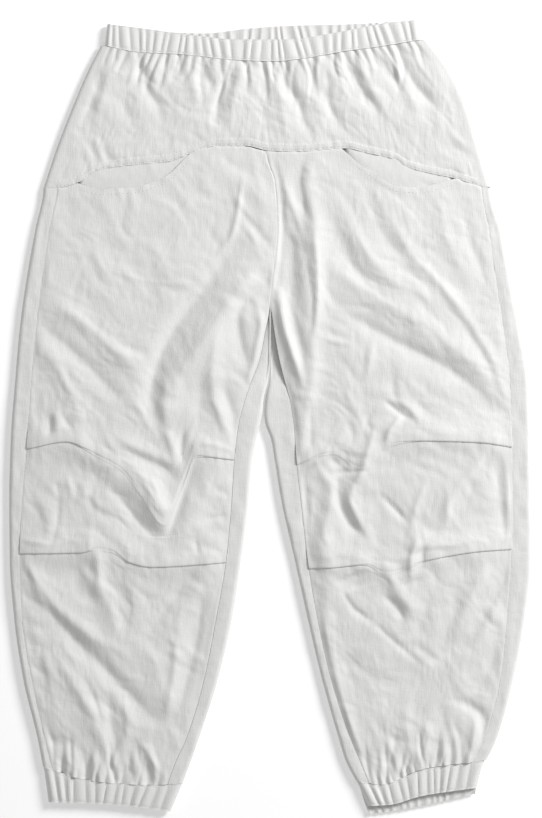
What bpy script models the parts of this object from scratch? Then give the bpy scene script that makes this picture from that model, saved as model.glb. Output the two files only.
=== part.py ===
"""Child's parachute pants laid flat: gathered waist, hip yoke, curved pockets, knee tucks, elastic cuffs.

The front faces +Z and the waist points to +Y. The back lies on the plane z = 0, and the origin is on
that plane under the middle of the garment. Tables and sizes are in millimetres. "right" and "left"
are the wearer's, so the right leg is at -X.

Every piece is a wall of cloth round a middle surface. The surface is a list of rows, and a row is a
list of places across the piece with one point each, so that a row with gathers may have more points
than its neighbour.
"""
import bmesh
import bpy
import numpy as np

MM = 0.001

CLOTH = 1.2            # wall of one layer of cloth
BAG_CLOTH = 1.0        # wall of a pocket bag
CASING = 2.0           # wall of an elastic casing, two layers with the elastic between them
SEAM_GAP = 0.3         # room between two pieces at a seam
CURVED_SEAM_GAP = 0.5  # the same where the two edges are curved and their points differ
LAYER_GAP = 0.4        # room between layers that lie on each other
FOLD_REACH = 3.2       # how far in from its outline a flattened side becomes level

WAIST_GATHERS = 36     # on the front, and again on the back
CUFF_GATHERS = 15      # on the front, and again on the back
GATHER_RISE = 2.3
GATHER_SHAPE = ((0.00, 0.15), (0.34, 1.00), (0.72, 0.92))    # place in the gather, height

FRONT_COLUMNS = 14
STRIP_COLUMNS = 2
HALF_FOLD_COLUMNS = 2
FLOOR_COLUMNS = 6
STRIP_WEIGHT = 0.35    # a strip needs fewer columns than a fold of the same length
LIP_TOP = 98.0         # where the crotch seam leaves the floor, and where it is fully turned up
LIP_FULL = 76.0

FRONT_REST = 4.8       # middle of the front layer above the floor where it lies on the back
WAIST_FRONT_REST = 5.8
BAG_REST = 2.5
MOUTH_LIFT = 0.5       # the free edge of a pocket mouth stands this much proud
BAG_BOTTOM = 124.0
BAG_MARGIN = 3.0

FRONT_HEIGHT = (       # y, middle of the front layer
    (-292.0, 5.2), (-262.0, 4.6), (-160.0, 4.4), (-60.0, 4.6), (60.0, 4.6), (190.0, 4.8),
    (240.0, 5.2), (284.0, 5.8))
CROWN = (              # y, how much the middle of a leg stands above its seams
    (-290.0, 0.2), (-220.0, 0.8), (-110.0, 1.2), (-40.0, 1.4), (60.0, 1.0), (180.0, 0.3))

WAIST_FRONT_TOP = (
    (-131.0, 314.5), (-96.0, 310.0), (-55.0, 304.5), (-26.0, 302.0), (13.0, 302.0), (53.0, 307.5),
    (90.0, 314.5), (119.0, 318.0))
WAIST_FRONT_BOTTOM = (
    (-133.0, 297.0), (-107.0, 292.0), (-71.0, 290.0), (-26.0, 285.5), (3.0, 284.5), (34.0, 288.0),
    (63.0, 293.0), (86.0, 296.0), (123.0, 302.0))
WAIST_BACK_TOP = (
    (-131.0, 314.5), (-96.0, 309.5), (-55.0, 307.5), (-16.0, 311.5), (13.0, 313.5), (67.0, 315.0),
    (119.0, 318.0))
WAIST_BACK_BOTTOM = (
    (-133.0, 297.0), (-96.0, 291.5), (-55.0, 290.0), (-16.0, 294.0), (13.0, 296.0), (67.0, 297.5),
    (123.0, 302.0))

HIP_RIGHT = (          # y, outline from the yoke seam up to the waist casing
    (183.0, -182.0), (214.0, -171.8), (254.0, -156.2), (278.0, -145.8), (297.0, -136.0))
HIP_LEFT = ((183.0, 177.0), (214.0, 167.8), (254.0, 155.8), (278.0, 143.8), (302.0, 126.0))

YOKE_SEAM = (          # x, y of the seam between the front yoke and the fronts
    (-182.0, 183.5), (-170.0, 183.5), (-153.0, 188.0), (-138.0, 197.5), (-107.0, 202.0),
    (-81.0, 204.5), (-66.0, 210.0), (-42.0, 217.0), (-20.0, 217.0), (0.0, 213.0), (21.0, 212.5),
    (61.0, 215.0), (77.0, 211.5), (99.0, 206.5), (112.0, 199.5), (131.0, 194.5), (146.0, 191.5),
    (165.0, 186.0), (177.0, 183.5))
BACK_YOKE_SEAM = ((-182.0, 183.5), (-90.0, 191.0), (0.0, 196.0), (90.0, 191.0), (177.0, 183.5))

LEGS = {
    "right": {
        "outward": -1.0,
        "side": (      # y, outline, side seam
            (200.0, -182.0, -170.5), (184.0, -182.0, -170.5), (150.0, -188.6, -176.6),
            (126.0, -193.0, -180.2), (78.0, -200.2, -186.2), (30.0, -204.6, -191.0),
            (-18.0, -208.2, -194.2), (-66.0, -209.4, -198.2), (-114.0, -209.0, -200.2),
            (-162.0, -205.4, -198.2), (-210.0, -198.2, -190.6), (-258.0, -186.6, -180.0),
            (-283.0, -181.8, -174.0)),
        "inside": (    # y, inseam or centre seam, outline
            (220.0, -0.15, -0.2), (92.0, -0.15, -0.2), (81.0, -1.4, -0.2), (70.0, -3.8, -0.2),
            (46.0, -8.5, -0.2), (30.0, -14.6, -1.3), (14.0, -20.2, -4.9), (4.0, -23.0, -5.7),
            (-4.0, -24.9, -7.4), (-18.0, -27.0, -10.8), (-34.0, -28.7, -13.8), (-66.0, -30.8, -16.6),
            (-114.0, -35.2, -22.6), (-162.0, -43.4, -30.2), (-210.0, -53.0, -41.4),
            (-258.0, -67.5, -57.0), (-274.0, -75.0, -62.6), (-293.0, -82.0, -69.8)),
        "mouth": ((-154.0, 187.0), (-136.0, 182.6), (-111.0, 184.0), (-88.0, 191.0), (-62.0, 211.0)),
        "upper_tuck": (    # x, y of the fold's edge, depth of the fold from 0 to 1
            (-193.0, -25.0, 1.0), (-163.0, -19.5, 0.9), (-139.0, -21.0, 0.55), (-109.0, -24.0, 0.45),
            (-86.0, -37.0, 0.55), (-70.0, -41.0, 0.45), (-56.0, -29.0, 0.8), (-29.0, -34.0, 1.0)),
        "lower_tuck": (
            (-200.0, -109.0, 1.0), (-151.0, -107.0, 0.9), (-130.0, -108.5, 0.5), (-112.0, -118.0, 0.5),
            (-95.0, -120.0, 0.75), (-35.0, -118.0, 1.0)),
        "cuff_front_top": ((-181.8, -280.0), (-142.0, -291.0), (-90.0, -294.5), (-69.8, -293.0)),
        "cuff_front_bottom": ((-178.0, -308.0), (-145.0, -308.8), (-109.0, -311.5), (-79.4, -315.5)),
        "cuff_back_top": ((-181.8, -280.0), (-142.0, -289.0), (-90.0, -292.5), (-69.8, -293.0)),
        "cuff_back_bottom": ((-178.0, -308.0), (-145.0, -307.8), (-109.0, -310.5), (-79.4, -315.5)),
        "creases": (   # from x, y, to x, y, half width, height
            (-29.0, 111.0, -50.0, 90.0, 11.0, -1.6), (-50.0, 90.0, -85.0, 50.0, 13.0, -2.4),
            (-85.0, 50.0, -94.0, 8.0, 11.0, -2.4), (-16.0, 104.0, -68.0, 40.0, 10.0, 2.4),
            (-183.0, 96.0, -99.0, 50.0, 11.0, -1.5), (-181.0, 66.0, -118.0, 23.0, 10.0, -1.6),
            (-150.0, -60.0, -76.0, -92.0, 14.0, -1.8), (-92.0, -48.0, -78.0, -88.0, 12.0, 4.0),
            (-174.0, -126.0, -118.0, -196.0, 13.0, -2.0), (-60.0, -124.0, -100.0, -168.0, 11.0, 2.2),
            (-118.0, -196.0, -82.0, -246.0, 11.0, -1.8), (-160.0, -140.0, -120.0, -170.0, 10.0, 2.0)),
    },
    "left": {
        "outward": 1.0,
        "side": (
            (200.0, 177.0, 169.4), (184.0, 177.0, 169.4), (150.0, 185.4, 175.0), (126.0, 190.2, 178.2),
            (78.0, 199.0, 185.4), (30.0, 207.0, 191.8), (-18.0, 208.6, 193.4), (-66.0, 209.0, 194.2),
            (-114.0, 209.4, 192.8), (-162.0, 204.0, 189.4), (-210.0, 195.0, 184.0),
            (-258.0, 181.4, 171.0), (-277.0, 172.0, 161.5)),
        "inside": (
            (220.0, 0.15, 0.2), (92.0, 0.15, 0.2), (81.0, 1.4, 0.2), (70.0, 3.2, 0.2), (46.0, 7.4, 0.2),
            (30.0, 11.4, -0.9), (14.0, 15.8, -4.5), (4.0, 17.6, -5.3), (-4.0, 18.8, -4.6),
            (-18.0, 20.0, 0.2), (-34.0, 21.0, 3.0), (-66.0, 24.6, 8.2), (-114.0, 30.0, 19.0),
            (-162.0, 38.2, 29.6), (-210.0, 49.0, 41.0), (-258.0, 64.8, 54.6), (-274.0, 71.5, 59.5),
            (-292.0, 79.0, 68.6)),
        "mouth": ((59.0, 215.0), (77.0, 198.6), (101.0, 184.8), (120.0, 184.0), (137.0, 188.0),
                  (148.0, 191.0)),
        "upper_tuck": (
            (20.0, -38.0, 1.0), (50.0, -27.5, 0.8), (72.0, -38.0, 0.5), (96.0, -22.0, 0.6),
            (122.0, -18.7, 0.9), (167.0, -20.0, 1.0), (193.4, -23.8, 1.0)),
        "lower_tuck": (
            (28.0, -121.0, 1.0), (52.0, -119.8, 1.0), (76.0, -117.5, 0.8), (92.0, -124.0, 0.5),
            (128.0, -113.5, 0.8), (168.0, -107.0, 1.0), (193.0, -105.4, 1.0)),
        "cuff_front_top": ((68.6, -291.0), (84.0, -294.0), (124.6, -281.4), (172.0, -274.5)),
        "cuff_front_bottom": ((77.6, -311.0), (95.0, -310.0), (121.0, -303.0), (165.0, -296.5)),
        "cuff_back_top": ((68.6, -291.0), (84.0, -294.5), (124.6, -284.5), (172.0, -274.5)),
        "cuff_back_bottom": ((77.6, -318.0), (106.0, -314.0), (134.0, -308.5), (165.0, -301.5)),
        "creases": (
            (26.0, 206.0, 28.0, 164.0, 8.0, -2.2), (39.0, 150.0, 41.0, -6.0, 9.0, 1.8),
            (46.0, 146.0, 82.0, 66.0, 11.0, -1.9), (82.0, 66.0, 134.0, 40.0, 11.0, -1.6),
            (134.0, 40.0, 180.0, 10.0, 11.0, -1.6), (96.0, 150.0, 178.0, 70.0, 12.0, 1.5),
            (66.0, -30.0, 104.0, 10.0, 8.0, 2.4), (62.0, -48.0, 76.0, -98.0, 8.0, -2.0),
            (118.0, -60.0, 168.0, -30.0, 12.0, 1.8), (56.0, -124.0, 92.0, -152.0, 10.0, -2.4),
            (188.0, -132.0, 140.0, -184.0, 12.0, -1.8), (140.0, -184.0, 86.0, -240.0, 12.0, -1.8),
            (68.0, -150.0, 118.0, -196.0, 9.0, 2.2)),
    },
}

TUCK_UNDER = 7.0       # cloth that turns back under the edge of a full tuck
TUCK_STEP = CLOTH + 1.5 * LAYER_GAP
TUCK_BEND = 1.0        # from the edge of a fold to where its layers are level
TUCK_STANDING = 0.5    # at this depth a tuck is an upright step with nothing under it
TUCK_ABOVE = 24.0      # where the panel begins to rise to a tuck's edge, and where it is level again
TUCK_BELOW = -9.0
TUCK_LET_OUT = (9.0, 4.0, 2.6, 1.0, -1.0, -2.6, -4.0)  # a tuck's rows where it is let out flat

FRONT_ROWS_TO_KNEE = (0.0, 0.05, 0.16, 0.28, 0.40, 0.50, 0.57, 0.63, 0.69, 0.75, 0.81, 0.87, 0.93)
FRONT_ROWS_AT_KNEE = (0.34, 0.67)
FRONT_ROWS_TO_CUFF = (0.16, 0.32, 0.48, 0.64, 0.80)
BACK_ROWS = (
    172.0, 146.0, 120.0, LIP_TOP, 90.0, 83.0, LIP_FULL, 67.0, 57.0, 46.0, 36.0, 26.0, 16.0, 6.0, -4.0, -16.0,
    -34.0, -58.0, -82.0, -106.0, -130.0, -154.0, -178.0, -202.0, -222.0, -240.0)
CUFF_FADE = ((26.0, 0.0), (8.0, 0.7), (0.0, 1.0))      # distance above the cuff, share of its gathers
WAIST_FADE = ((0.0, 1.0), (7.0, 0.75), (20.0, 0.0))    # distance below the waist casing
YOKE_ROWS = (0.45, 0.72, 1.0)


def smooth_curve(places, values, at):
    """A smooth curve through the given values that never overshoots between two of them."""
    places = np.asarray(places, float)
    values = np.asarray(values, float)
    if places[0] > places[-1]:
        places = places[::-1]
        values = values[::-1]
    at = np.clip(at, places[0], places[-1])
    steps = np.diff(places)
    rises = np.diff(values) / steps
    slopes = np.zeros(len(places))
    slopes[0] = rises[0]
    slopes[-1] = rises[-1]
    for i in range(1, len(places) - 1):
        if rises[i - 1] * rises[i] > 0.0:
            before = 2.0 * steps[i] + steps[i - 1]
            after = steps[i] + 2.0 * steps[i - 1]
            slopes[i] = (before + after) / (before / rises[i - 1] + after / rises[i])
    i = np.clip(np.searchsorted(places, at, side="right") - 1, 0, len(places) - 2)
    t = (at - places[i]) / steps[i]
    start = (1.0 + 2.0 * t) * (1.0 - t) ** 2 * values[i] + t * (1.0 - t) ** 2 * steps[i] * slopes[i]
    end = t * t * (3.0 - 2.0 * t) * values[i + 1] + t * t * (t - 1.0) * steps[i] * slopes[i + 1]
    return start + end


def read(table, at, column=1):
    """The value of a table's column at a place along its first column."""
    return smooth_curve([row[0] for row in table], [row[column] for row in table], at)


def soft_step(value, low, high):
    """0 below low, 1 above high, and smooth between them."""
    t = np.clip((np.asarray(value, float) - low) / (high - low), 0.0, 1.0)
    return t * t * (3.0 - 2.0 * t)


def quarter_round(distance):
    """Height of a flattened side, from 0 at its outline to 1 where it becomes level."""
    return np.sqrt(1.0 - (1.0 - np.clip(distance / FOLD_REACH, 0.0, 1.0)) ** 2)


def gather_height(place, gathers):
    """Height of the gathers, 0 to 1, at a place from 0 to 1 along the gathered edge."""
    t = np.mod(np.asarray(place, float) * gathers, 1.0)
    starts = [row[0] for row in GATHER_SHAPE] + [1.0]
    heights = [row[1] for row in GATHER_SHAPE] + [GATHER_SHAPE[0][1]]
    return np.interp(t, starts, heights)


def gather_places(gathers):
    """Places from 0 to 1 with one point for each row of the gather's shape."""
    places = [(wave + row[0]) / gathers for wave in range(gathers) for row in GATHER_SHAPE]
    return np.array(places + [1.0])


def crease_relief(creases, x, y):
    """Sum of the soft troughs and ridges at a point of a front panel."""
    total = np.zeros(np.shape(x))
    for x_0, y_0, x_1, y_1, half_width, height in creases:
        run_x = x_1 - x_0
        run_y = y_1 - y_0
        t = np.clip(((x - x_0) * run_x + (y - y_0) * run_y) / (run_x ** 2 + run_y ** 2), 0.0, 1.0)
        away = np.hypot(x - x_0 - t * run_x, y - y_0 - t * run_y)
        total = total + height * np.exp(-(away / half_width) ** 2)
    return total


def side_lines(leg, y):
    """Middle-surface x of a leg's outer fold and x of its side seam."""
    return read(leg["side"], y, 1) - leg["outward"] * CLOTH / 2.0, read(leg["side"], y, 2)


def inside_lines(leg, y):
    """x of a leg's inseam, or centre seam, and middle-surface x of its inner fold."""
    return read(leg["inside"], y, 1), read(leg["inside"], y, 2) + leg["outward"] * CLOTH / 2.0


def top_height(leg, x, y):
    """Middle-surface z of the layer on top, rounded down to the folds at a leg's two sides."""
    outer = quarter_round(np.abs(side_lines(leg, y)[0] - x))
    inner = quarter_round(np.abs(inside_lines(leg, y)[1] - x))
    rounded = 1.0 - (1.0 - inner) * soft_step(-np.asarray(y, float), -LIP_TOP + 8.0, -LIP_FULL + 8.0)
    level = read(FRONT_HEIGHT, y)
    middle = (level + CLOTH / 2.0) / 2.0
    return middle + (level - middle) * outer * rounded


def front_height(leg, x, y, across):
    """Middle-surface z of a front, with its crown and its main creases."""
    inside = np.sin(np.pi * np.clip(across, 0.0, 1.0))
    crown = read(CROWN, y) * inside
    creases = crease_relief(leg["creases"], x, y) * soft_step(inside, 0.0, 0.35)
    lowest = np.where(np.asarray(y) > BAG_BOTTOM - 20.0, BAG_REST + 1.6, CLOTH * 1.5 + LAYER_GAP)
    return np.maximum(top_height(leg, x, y) + crown + creases, lowest)


def front_x(leg, across, y):
    """x of a place from 0, at the side seam, to 1, at the inseam or centre seam."""
    side = side_lines(leg, y)[1] - leg["outward"] * SEAM_GAP / 2.0
    inseam = inside_lines(leg, y)[0]
    return side + (inseam - side) * across


def line_on_front(leg, table, across, column=1):
    """A table's value where each column of a front crosses the line that the table gives."""
    y = np.full(np.shape(across), float(np.mean([row[1] for row in table])))
    for _ in range(4):
        x = front_x(leg, across, y)
        y = read(table, x)
    return read(table, x, column)


def yoke_seam_y(x):
    return read(YOKE_SEAM, x)


def front_top_y(leg, across):
    """Top edge of a front: the yoke seam, and the free edge of the pocket where it dips below."""
    x = front_x(leg, across, 200.0)
    seam = yoke_seam_y(x) - SEAM_GAP / 2.0
    mouth = leg["mouth"]
    in_mouth = (x > mouth[0][0]) & (x < mouth[-1][0])
    return np.where(in_mouth, np.minimum(read(mouth, x), seam), seam)


def cuff_gap_line(leg, face, x):
    return read(leg["cuff_" + face + "_top"], x) + CURVED_SEAM_GAP


def tuck_rows(depth):
    """Offsets along the leg and heights in layers of a tuck's rows, for each column's depth."""
    under = TUCK_UNDER * np.clip((depth - TUCK_STANDING) / (1.0 - TUCK_STANDING), 0.0, 1.0)
    standing = np.clip(depth / TUCK_STANDING, 0.0, 1.0)
    apart = 0.18 * np.clip(1.0 - under / (2.0 * TUCK_BEND + 1.0), 0.0, 1.0)
    folded = (
        (under + 4.0, 2.0), (TUCK_BEND, 2.0), (0.0, 1.5),
        (np.minimum(TUCK_BEND, under / 2.0), 1.0 + apart),
        (np.maximum(under - TUCK_BEND, under / 2.0), 1.0 - apart),
        (under, 0.5), (under - TUCK_BEND, 0.0))
    rows = [(TUCK_ABOVE, 0.5 * standing)]
    for (offset, layers), let_out in zip(folded, TUCK_LET_OUT):
        rows.append((let_out + (offset - let_out) * standing, layers * standing))
    rows.append((TUCK_BELOW, 0.0))
    return rows


def leg_front_rows(leg):
    """Rows of a front, from the yoke seam past two lines of tucks to the cuff."""
    across = np.linspace(0.0, 1.0, FRONT_COLUMNS + 1)
    top = front_top_y(leg, across)
    tucks = []
    for name in ("upper_tuck", "lower_tuck"):
        edge = line_on_front(leg, leg[name], across)
        depth = line_on_front(leg, leg[name], across, 2)
        tucks.append((edge, depth))
    fade_start = cuff_gap_line(leg, "front", front_x(leg, across, -285.0)) + CUFF_FADE[0][0]
    rows = []

    def add_plain(y, lift=0.0):
        x = front_x(leg, across, y)
        z = front_height(leg, x, y, across) + lift
        rows.append((across, np.stack([x, y, z], axis=1)))

    def add_tuck(edge, depth):
        stack = tuck_rows(depth)
        for i, (offset, layers) in enumerate(stack):
            y = edge + offset
            x = front_x(leg, across, y)
            under_y = y if i in (0, len(stack) - 1) else edge
            z = front_height(leg, x, under_y, across) + layers * TUCK_STEP
            rows.append((across, np.stack([x, y, z], axis=1)))

    mouth_drop = yoke_seam_y(front_x(leg, across, 200.0)) - top
    for share in FRONT_ROWS_TO_KNEE:
        lift = MOUTH_LIFT * np.minimum(mouth_drop / 6.0, 1.0) if share == 0.0 else 0.0
        add_plain(top + (tucks[0][0] + TUCK_ABOVE - top) * share, lift)
    add_tuck(*tucks[0])
    above = tucks[0][0] + TUCK_BELOW
    below = tucks[1][0] + TUCK_ABOVE
    for share in FRONT_ROWS_AT_KNEE:
        add_plain(above + (below - above) * share)
    add_tuck(*tucks[1])
    above = tucks[1][0] + TUCK_BELOW
    for share in FRONT_ROWS_TO_CUFF + (1.0,):
        add_plain(above + (fade_start - above) * share)
    places = gather_places(CUFF_GATHERS)
    for distance, share in CUFF_FADE[1:]:
        y = np.full(len(places), -285.0)
        for _ in range(4):
            x = front_x(leg, places, y)
            y = cuff_gap_line(leg, "front", x) + distance
        x = front_x(leg, places, y)
        gathers = GATHER_RISE * share * gather_height(places, CUFF_GATHERS)
        z = top_height(leg, x, y) - GATHER_RISE * share / 2.0 + gathers
        rows.append((places, np.stack([x, y, z], axis=1)))
    return rows


def back_section(leg, y, places):
    """One section of a back: strip, outer fold, floor, inner fold and strip, at places from 0 to 5."""
    outward = leg["outward"]
    fold_x, side = side_lines(leg, y)
    inseam, inner_x = inside_lines(leg, y)
    side_edge = side + outward * SEAM_GAP / 2.0
    inner_edge = inseam - outward * CURVED_SEAM_GAP
    level = read(FRONT_HEIGHT, y)
    middle = (level + CLOTH / 2.0) / 2.0
    floor = CLOTH / 2.0
    part = places
    strip = np.clip(part, 0.0, 1.0)
    strip_x = side_edge + (fold_x - outward * FOLD_REACH - side_edge) * strip
    turn = np.pi * np.clip(part - 1.0, 0.0, 1.0)
    turn_x = fold_x - outward * FOLD_REACH * (1.0 - np.sin(turn))
    turn_z = middle + (level - middle) * np.cos(turn)
    run = np.clip(part - 2.0, 0.0, 1.0)
    inner_start = inner_x + outward * FOLD_REACH
    run_x = (fold_x - outward * FOLD_REACH) + (inner_start - fold_x + outward * FOLD_REACH) * run
    end = np.clip((part - 3.0) / 2.0, 0.0, 1.0)
    reach = np.abs(inner_edge - inner_x)
    last_turn = np.pi - np.arcsin(np.clip(1.0 - reach / FOLD_REACH, 0.0, 1.0))
    strip_share = STRIP_WEIGHT * np.maximum(reach - FOLD_REACH, 0.0) / FOLD_REACH
    travel = (last_turn + strip_share) * end
    roll = np.minimum(travel, last_turn)
    strip_run = np.clip((travel - last_turn) / np.maximum(strip_share, 1e-6), 0.0, 1.0)
    roll_x = inner_x + outward * FOLD_REACH * (1.0 - np.sin(roll))
    roll_z = middle - (middle - floor) * np.cos(roll)
    turned_x = roll_x + (inner_edge - roll_x) * strip_run
    flat_end = outward * SEAM_GAP / 2.0
    flat_x = inner_start + (flat_end - inner_start) * end
    turned = 1.0 - soft_step(y, LIP_FULL, LIP_TOP)
    last_x = flat_x + (turned_x - flat_x) * turned
    last_z = floor + (roll_z - floor) * turned
    x = np.where(part <= 1.0, strip_x, np.where(part <= 2.0, turn_x, np.where(part <= 3.0, run_x, last_x)))
    z = np.where(part <= 1.0, level, np.where(part <= 2.0, turn_z, np.where(part <= 3.0, floor, last_z)))
    return x, z


def back_places(gathers=0):
    """Places round a back section, with more of them on the floor where it is gathered."""
    floor = np.linspace(2.0, 3.0, FLOOR_COLUMNS + 1)
    if gathers:
        floor = 2.0 + gather_places(gathers)
    return np.concatenate([
        np.linspace(0.0, 1.0, STRIP_COLUMNS + 1)[:-1],
        np.linspace(1.0, 2.0, 2 * HALF_FOLD_COLUMNS + 1)[:-1], floor,
        np.linspace(3.0, 5.0, 2 * HALF_FOLD_COLUMNS + STRIP_COLUMNS + 1)[1:]])


def leg_back_rows(leg):
    """Rows of a back, from the yoke seam to the cuff, wrapped round both sides onto the front."""
    rows = []
    places = back_places()
    x, z = back_section(leg, 183.0, places)
    y = np.where(places <= 1.0, yoke_seam_y(x), read(BACK_YOKE_SEAM, x)) - SEAM_GAP / 2.0
    rows.append((places, np.stack([x, y, z], axis=1)))
    for level in BACK_ROWS:
        x, z = back_section(leg, level, places)
        rows.append((places, np.stack([x, np.full(len(x), level), z], axis=1)))
    for distance, share in CUFF_FADE:
        gathers = CUFF_GATHERS if share else 0
        places = back_places(gathers)
        on_floor = (places > 2.0) & (places < 3.0)
        share_back = np.clip(np.where(places < 2.5, places - 1.0, 4.0 - places), 0.0, 1.0)
        y = np.full(len(places), -285.0)
        for _ in range(4):
            x, z = back_section(leg, y, places)
            front = cuff_gap_line(leg, "front", x)
            back = cuff_gap_line(leg, "back", x)
            y = front + (back - front) * share_back + distance
        x, z = back_section(leg, y, places)
        valleys = GATHER_RISE * share * (1.0 - gather_height(places - 2.0, CUFF_GATHERS))
        z = z + np.where(on_floor, valleys, 0.0)
        rows.append((places, np.stack([x, y, z], axis=1)))
    return rows


def yoke_stations():
    """x of the yoke's level columns at its lower seam, which are those of the legs below it."""
    sides = {}
    for name, leg in LEGS.items():
        strip, _ = back_section(leg, 183.0, np.linspace(1.0, 0.0, STRIP_COLUMNS + 1))
        front = front_x(leg, np.linspace(0.0, 1.0, FRONT_COLUMNS + 1), 200.0)
        sides[name] = np.concatenate([strip[:-1], front[:-1]])
    return np.concatenate([sides["right"], [0.0], sides["left"][::-1]])


def hip_lines(y_right, y_left):
    """Middle-surface x of the two folds of the yoke."""
    return read(HIP_RIGHT, y_right) + CLOTH / 2.0, read(HIP_LEFT, y_left) - CLOTH / 2.0


def yoke_rows(face):
    """Rows of a yoke, gathered at the waist casing and plain at the seam with the legs.

    Places run from 0 to 1 round the right fold, to 2 across the level part and to 3 round the left.
    """
    front = face == "front"
    waist = WAIST_FRONT_BOTTOM if front else WAIST_BACK_BOTTOM
    seam = YOKE_SEAM if front else BACK_YOKE_SEAM
    stations = yoke_stations()
    seam_share = (stations - stations[0]) / (stations[-1] - stations[0])
    columns = np.linspace(0.0, 1.0, len(stations))
    fold = np.linspace(0.0, 1.0, HALF_FOLD_COLUMNS + 1)[:-1]
    settings = [(distance, share, None) for distance, share in WAIST_FADE]
    settings += [(None, 0.0, share_down) for share_down in YOKE_ROWS]
    rows = []
    for distance, share, share_down in settings:
        level_places = gather_places(WAIST_GATHERS) if share else columns
        places = np.concatenate([fold, 1.0 + level_places, 3.0 - fold[::-1]])
        across = np.clip(places - 1.0, 0.0, 1.0)
        from_outline = np.clip(np.minimum(places, 3.0 - places), 0.0, 1.0) * np.pi / 2.0
        in_from_outline = FOLD_REACH * (1.0 - np.cos(from_outline))
        top_x = waist[0][0] + (waist[-1][0] - waist[0][0]) * across
        top_y = read(waist, top_x) - CURVED_SEAM_GAP
        seam_y = read(seam, np.interp(across, columns, stations)) + SEAM_GAP / 2.0
        down = distance / (top_y - seam_y) if share_down is None else share_down
        y = top_y + (seam_y - top_y) * down
        spread = across * (1.0 - down) + np.interp(across, columns, seam_share) * down
        right, left = hip_lines(y[0] - SEAM_GAP, y[-1] - SEAM_GAP)
        x = right + FOLD_REACH + (left - right - 2.0 * FOLD_REACH) * spread
        x = np.where(places < 1.0, right + in_from_outline, x)
        x = np.where(places > 2.0, left - in_from_outline, x)
        level = read(FRONT_HEIGHT, y)
        middle = (level + CLOTH / 2.0) / 2.0
        rounded = np.sin(from_outline)
        fade = np.clip(np.minimum(across, 1.0 - across) * WAIST_GATHERS, 0.0, 1.0)
        gathers = gather_height(across, WAIST_GATHERS)
        if front:
            z = middle + (level - middle) * rounded + GATHER_RISE * share * fade * gathers
        else:
            z = middle - (middle - CLOTH / 2.0) * rounded
            z = z + GATHER_RISE * share * fade * (1.0 - gathers)
        apart = SEAM_GAP / 2.0 if front else -SEAM_GAP / 2.0
        z = z + apart * (rounded == 0.0)
        rows.append((places, np.stack([x, y, z], axis=1)))
    return rows


def edge_point(line, place):
    """Point of a casing's edge at a place from 0 to 1 between its two ends."""
    x = line[0][0] + (line[-1][0] - line[0][0]) * place
    return x, read(line, x)


def casing_rows(edges, gathers, level):
    """Rows of an elastic casing, a flattened ring with gathers on its front and its back."""
    places = gather_places(gathers)[1:-1]
    ends = np.array([0.0]), np.array([1.0])
    loop = np.concatenate([ends[0], places, ends[1], places[::-1]])
    on_front = np.arange(len(loop)) <= len(places) + 1
    floor = CASING / 2.0
    middle = (level + floor) / 2.0
    rows = []
    for edge in ("bottom", "top"):
        front_x_row, front_y_row = edge_point(edges["front_" + edge], loop)
        back_x_row, back_y_row = edge_point(edges["back_" + edge], loop)
        x = np.where(on_front, front_x_row, back_x_row)
        y = np.where(on_front, front_y_row, back_y_row)
        low, high = np.min(x) + CASING / 2.0, np.max(x) - CASING / 2.0
        x = low + (high - low) * (x - np.min(x)) / (np.max(x) - np.min(x))
        rounded = quarter_round(np.minimum(x - low, high - x))
        gathered = GATHER_RISE * gather_height(loop, gathers) * rounded
        on_top = middle + (level - middle) * rounded + gathered
        below = middle - (middle - floor) * rounded + GATHER_RISE * rounded - gathered
        z = np.where(on_front, on_top, below)
        rows.append((np.linspace(0.0, 1.0, len(loop), endpoint=False), np.stack([x, y, z], axis=1)))
    return rows


def pocket_bag_rows(leg):
    """Rows of the pocket's back layer, from the yoke seam down behind the front."""
    mouth = leg["mouth"]
    x = front_x(leg, np.linspace(0.0, 1.0, FRONT_COLUMNS + 1), 200.0)
    x = np.sort(x[(x > mouth[0][0] + BAG_MARGIN) & (x < mouth[-1][0] - BAG_MARGIN)])
    places = np.linspace(0.0, 1.0, len(x))
    seam = yoke_seam_y(x) - SEAM_GAP / 2.0
    edge = np.minimum(read(mouth, x), seam)
    drop = seam - edge
    top_z = BAG_REST + (FRONT_REST - 0.3 - BAG_REST) * np.clip(drop / 9.0, 0.0, 1.0)
    edge_z = np.minimum(top_z, BAG_REST + 0.4)
    rows = [(places, np.stack([x, seam, top_z], axis=1))]
    rows.append((places, np.stack([x, edge - 0.15 * drop, edge_z], axis=1)))
    for share in (0.3, 0.65, 1.0):
        corner = 6.0 * share * (2.0 * places - 1.0) ** 4
        y = edge + (BAG_BOTTOM + corner - edge) * share
        rows.append((places, np.stack([x, y, np.full(len(x), BAG_REST)], axis=1)))
    return rows


def join_rows(near, far, first_near, first_far, ring):
    """Triangles between two rows, stepping along whichever row is behind."""
    count_near = len(near)
    count_far = len(far)
    near = list(near) + [1.0] * ring
    far = list(far) + [1.0] * ring
    i = 0
    j = 0
    faces = []
    while i < len(near) - 1 or j < len(far) - 1:
        a = first_near + i % count_near
        b = first_far + j % count_far
        along_near = j == len(far) - 1 or (i < len(near) - 1 and near[i + 1] <= far[j + 1])
        if along_near:
            faces.append((a, first_near + (i + 1) % count_near, b))
            i += 1
        else:
            faces.append((a, first_far + (j + 1) % count_far, b))
            j += 1
    return faces


def point_normals(points, faces):
    """Unit normals of the middle surface at its points."""
    normals = np.zeros_like(points)
    for face in faces:
        a, b, c = points[list(face)]
        for index in face:
            normals[index] += np.cross(b - a, c - a)
    return normals / np.linalg.norm(normals, axis=1)[:, None]


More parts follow.
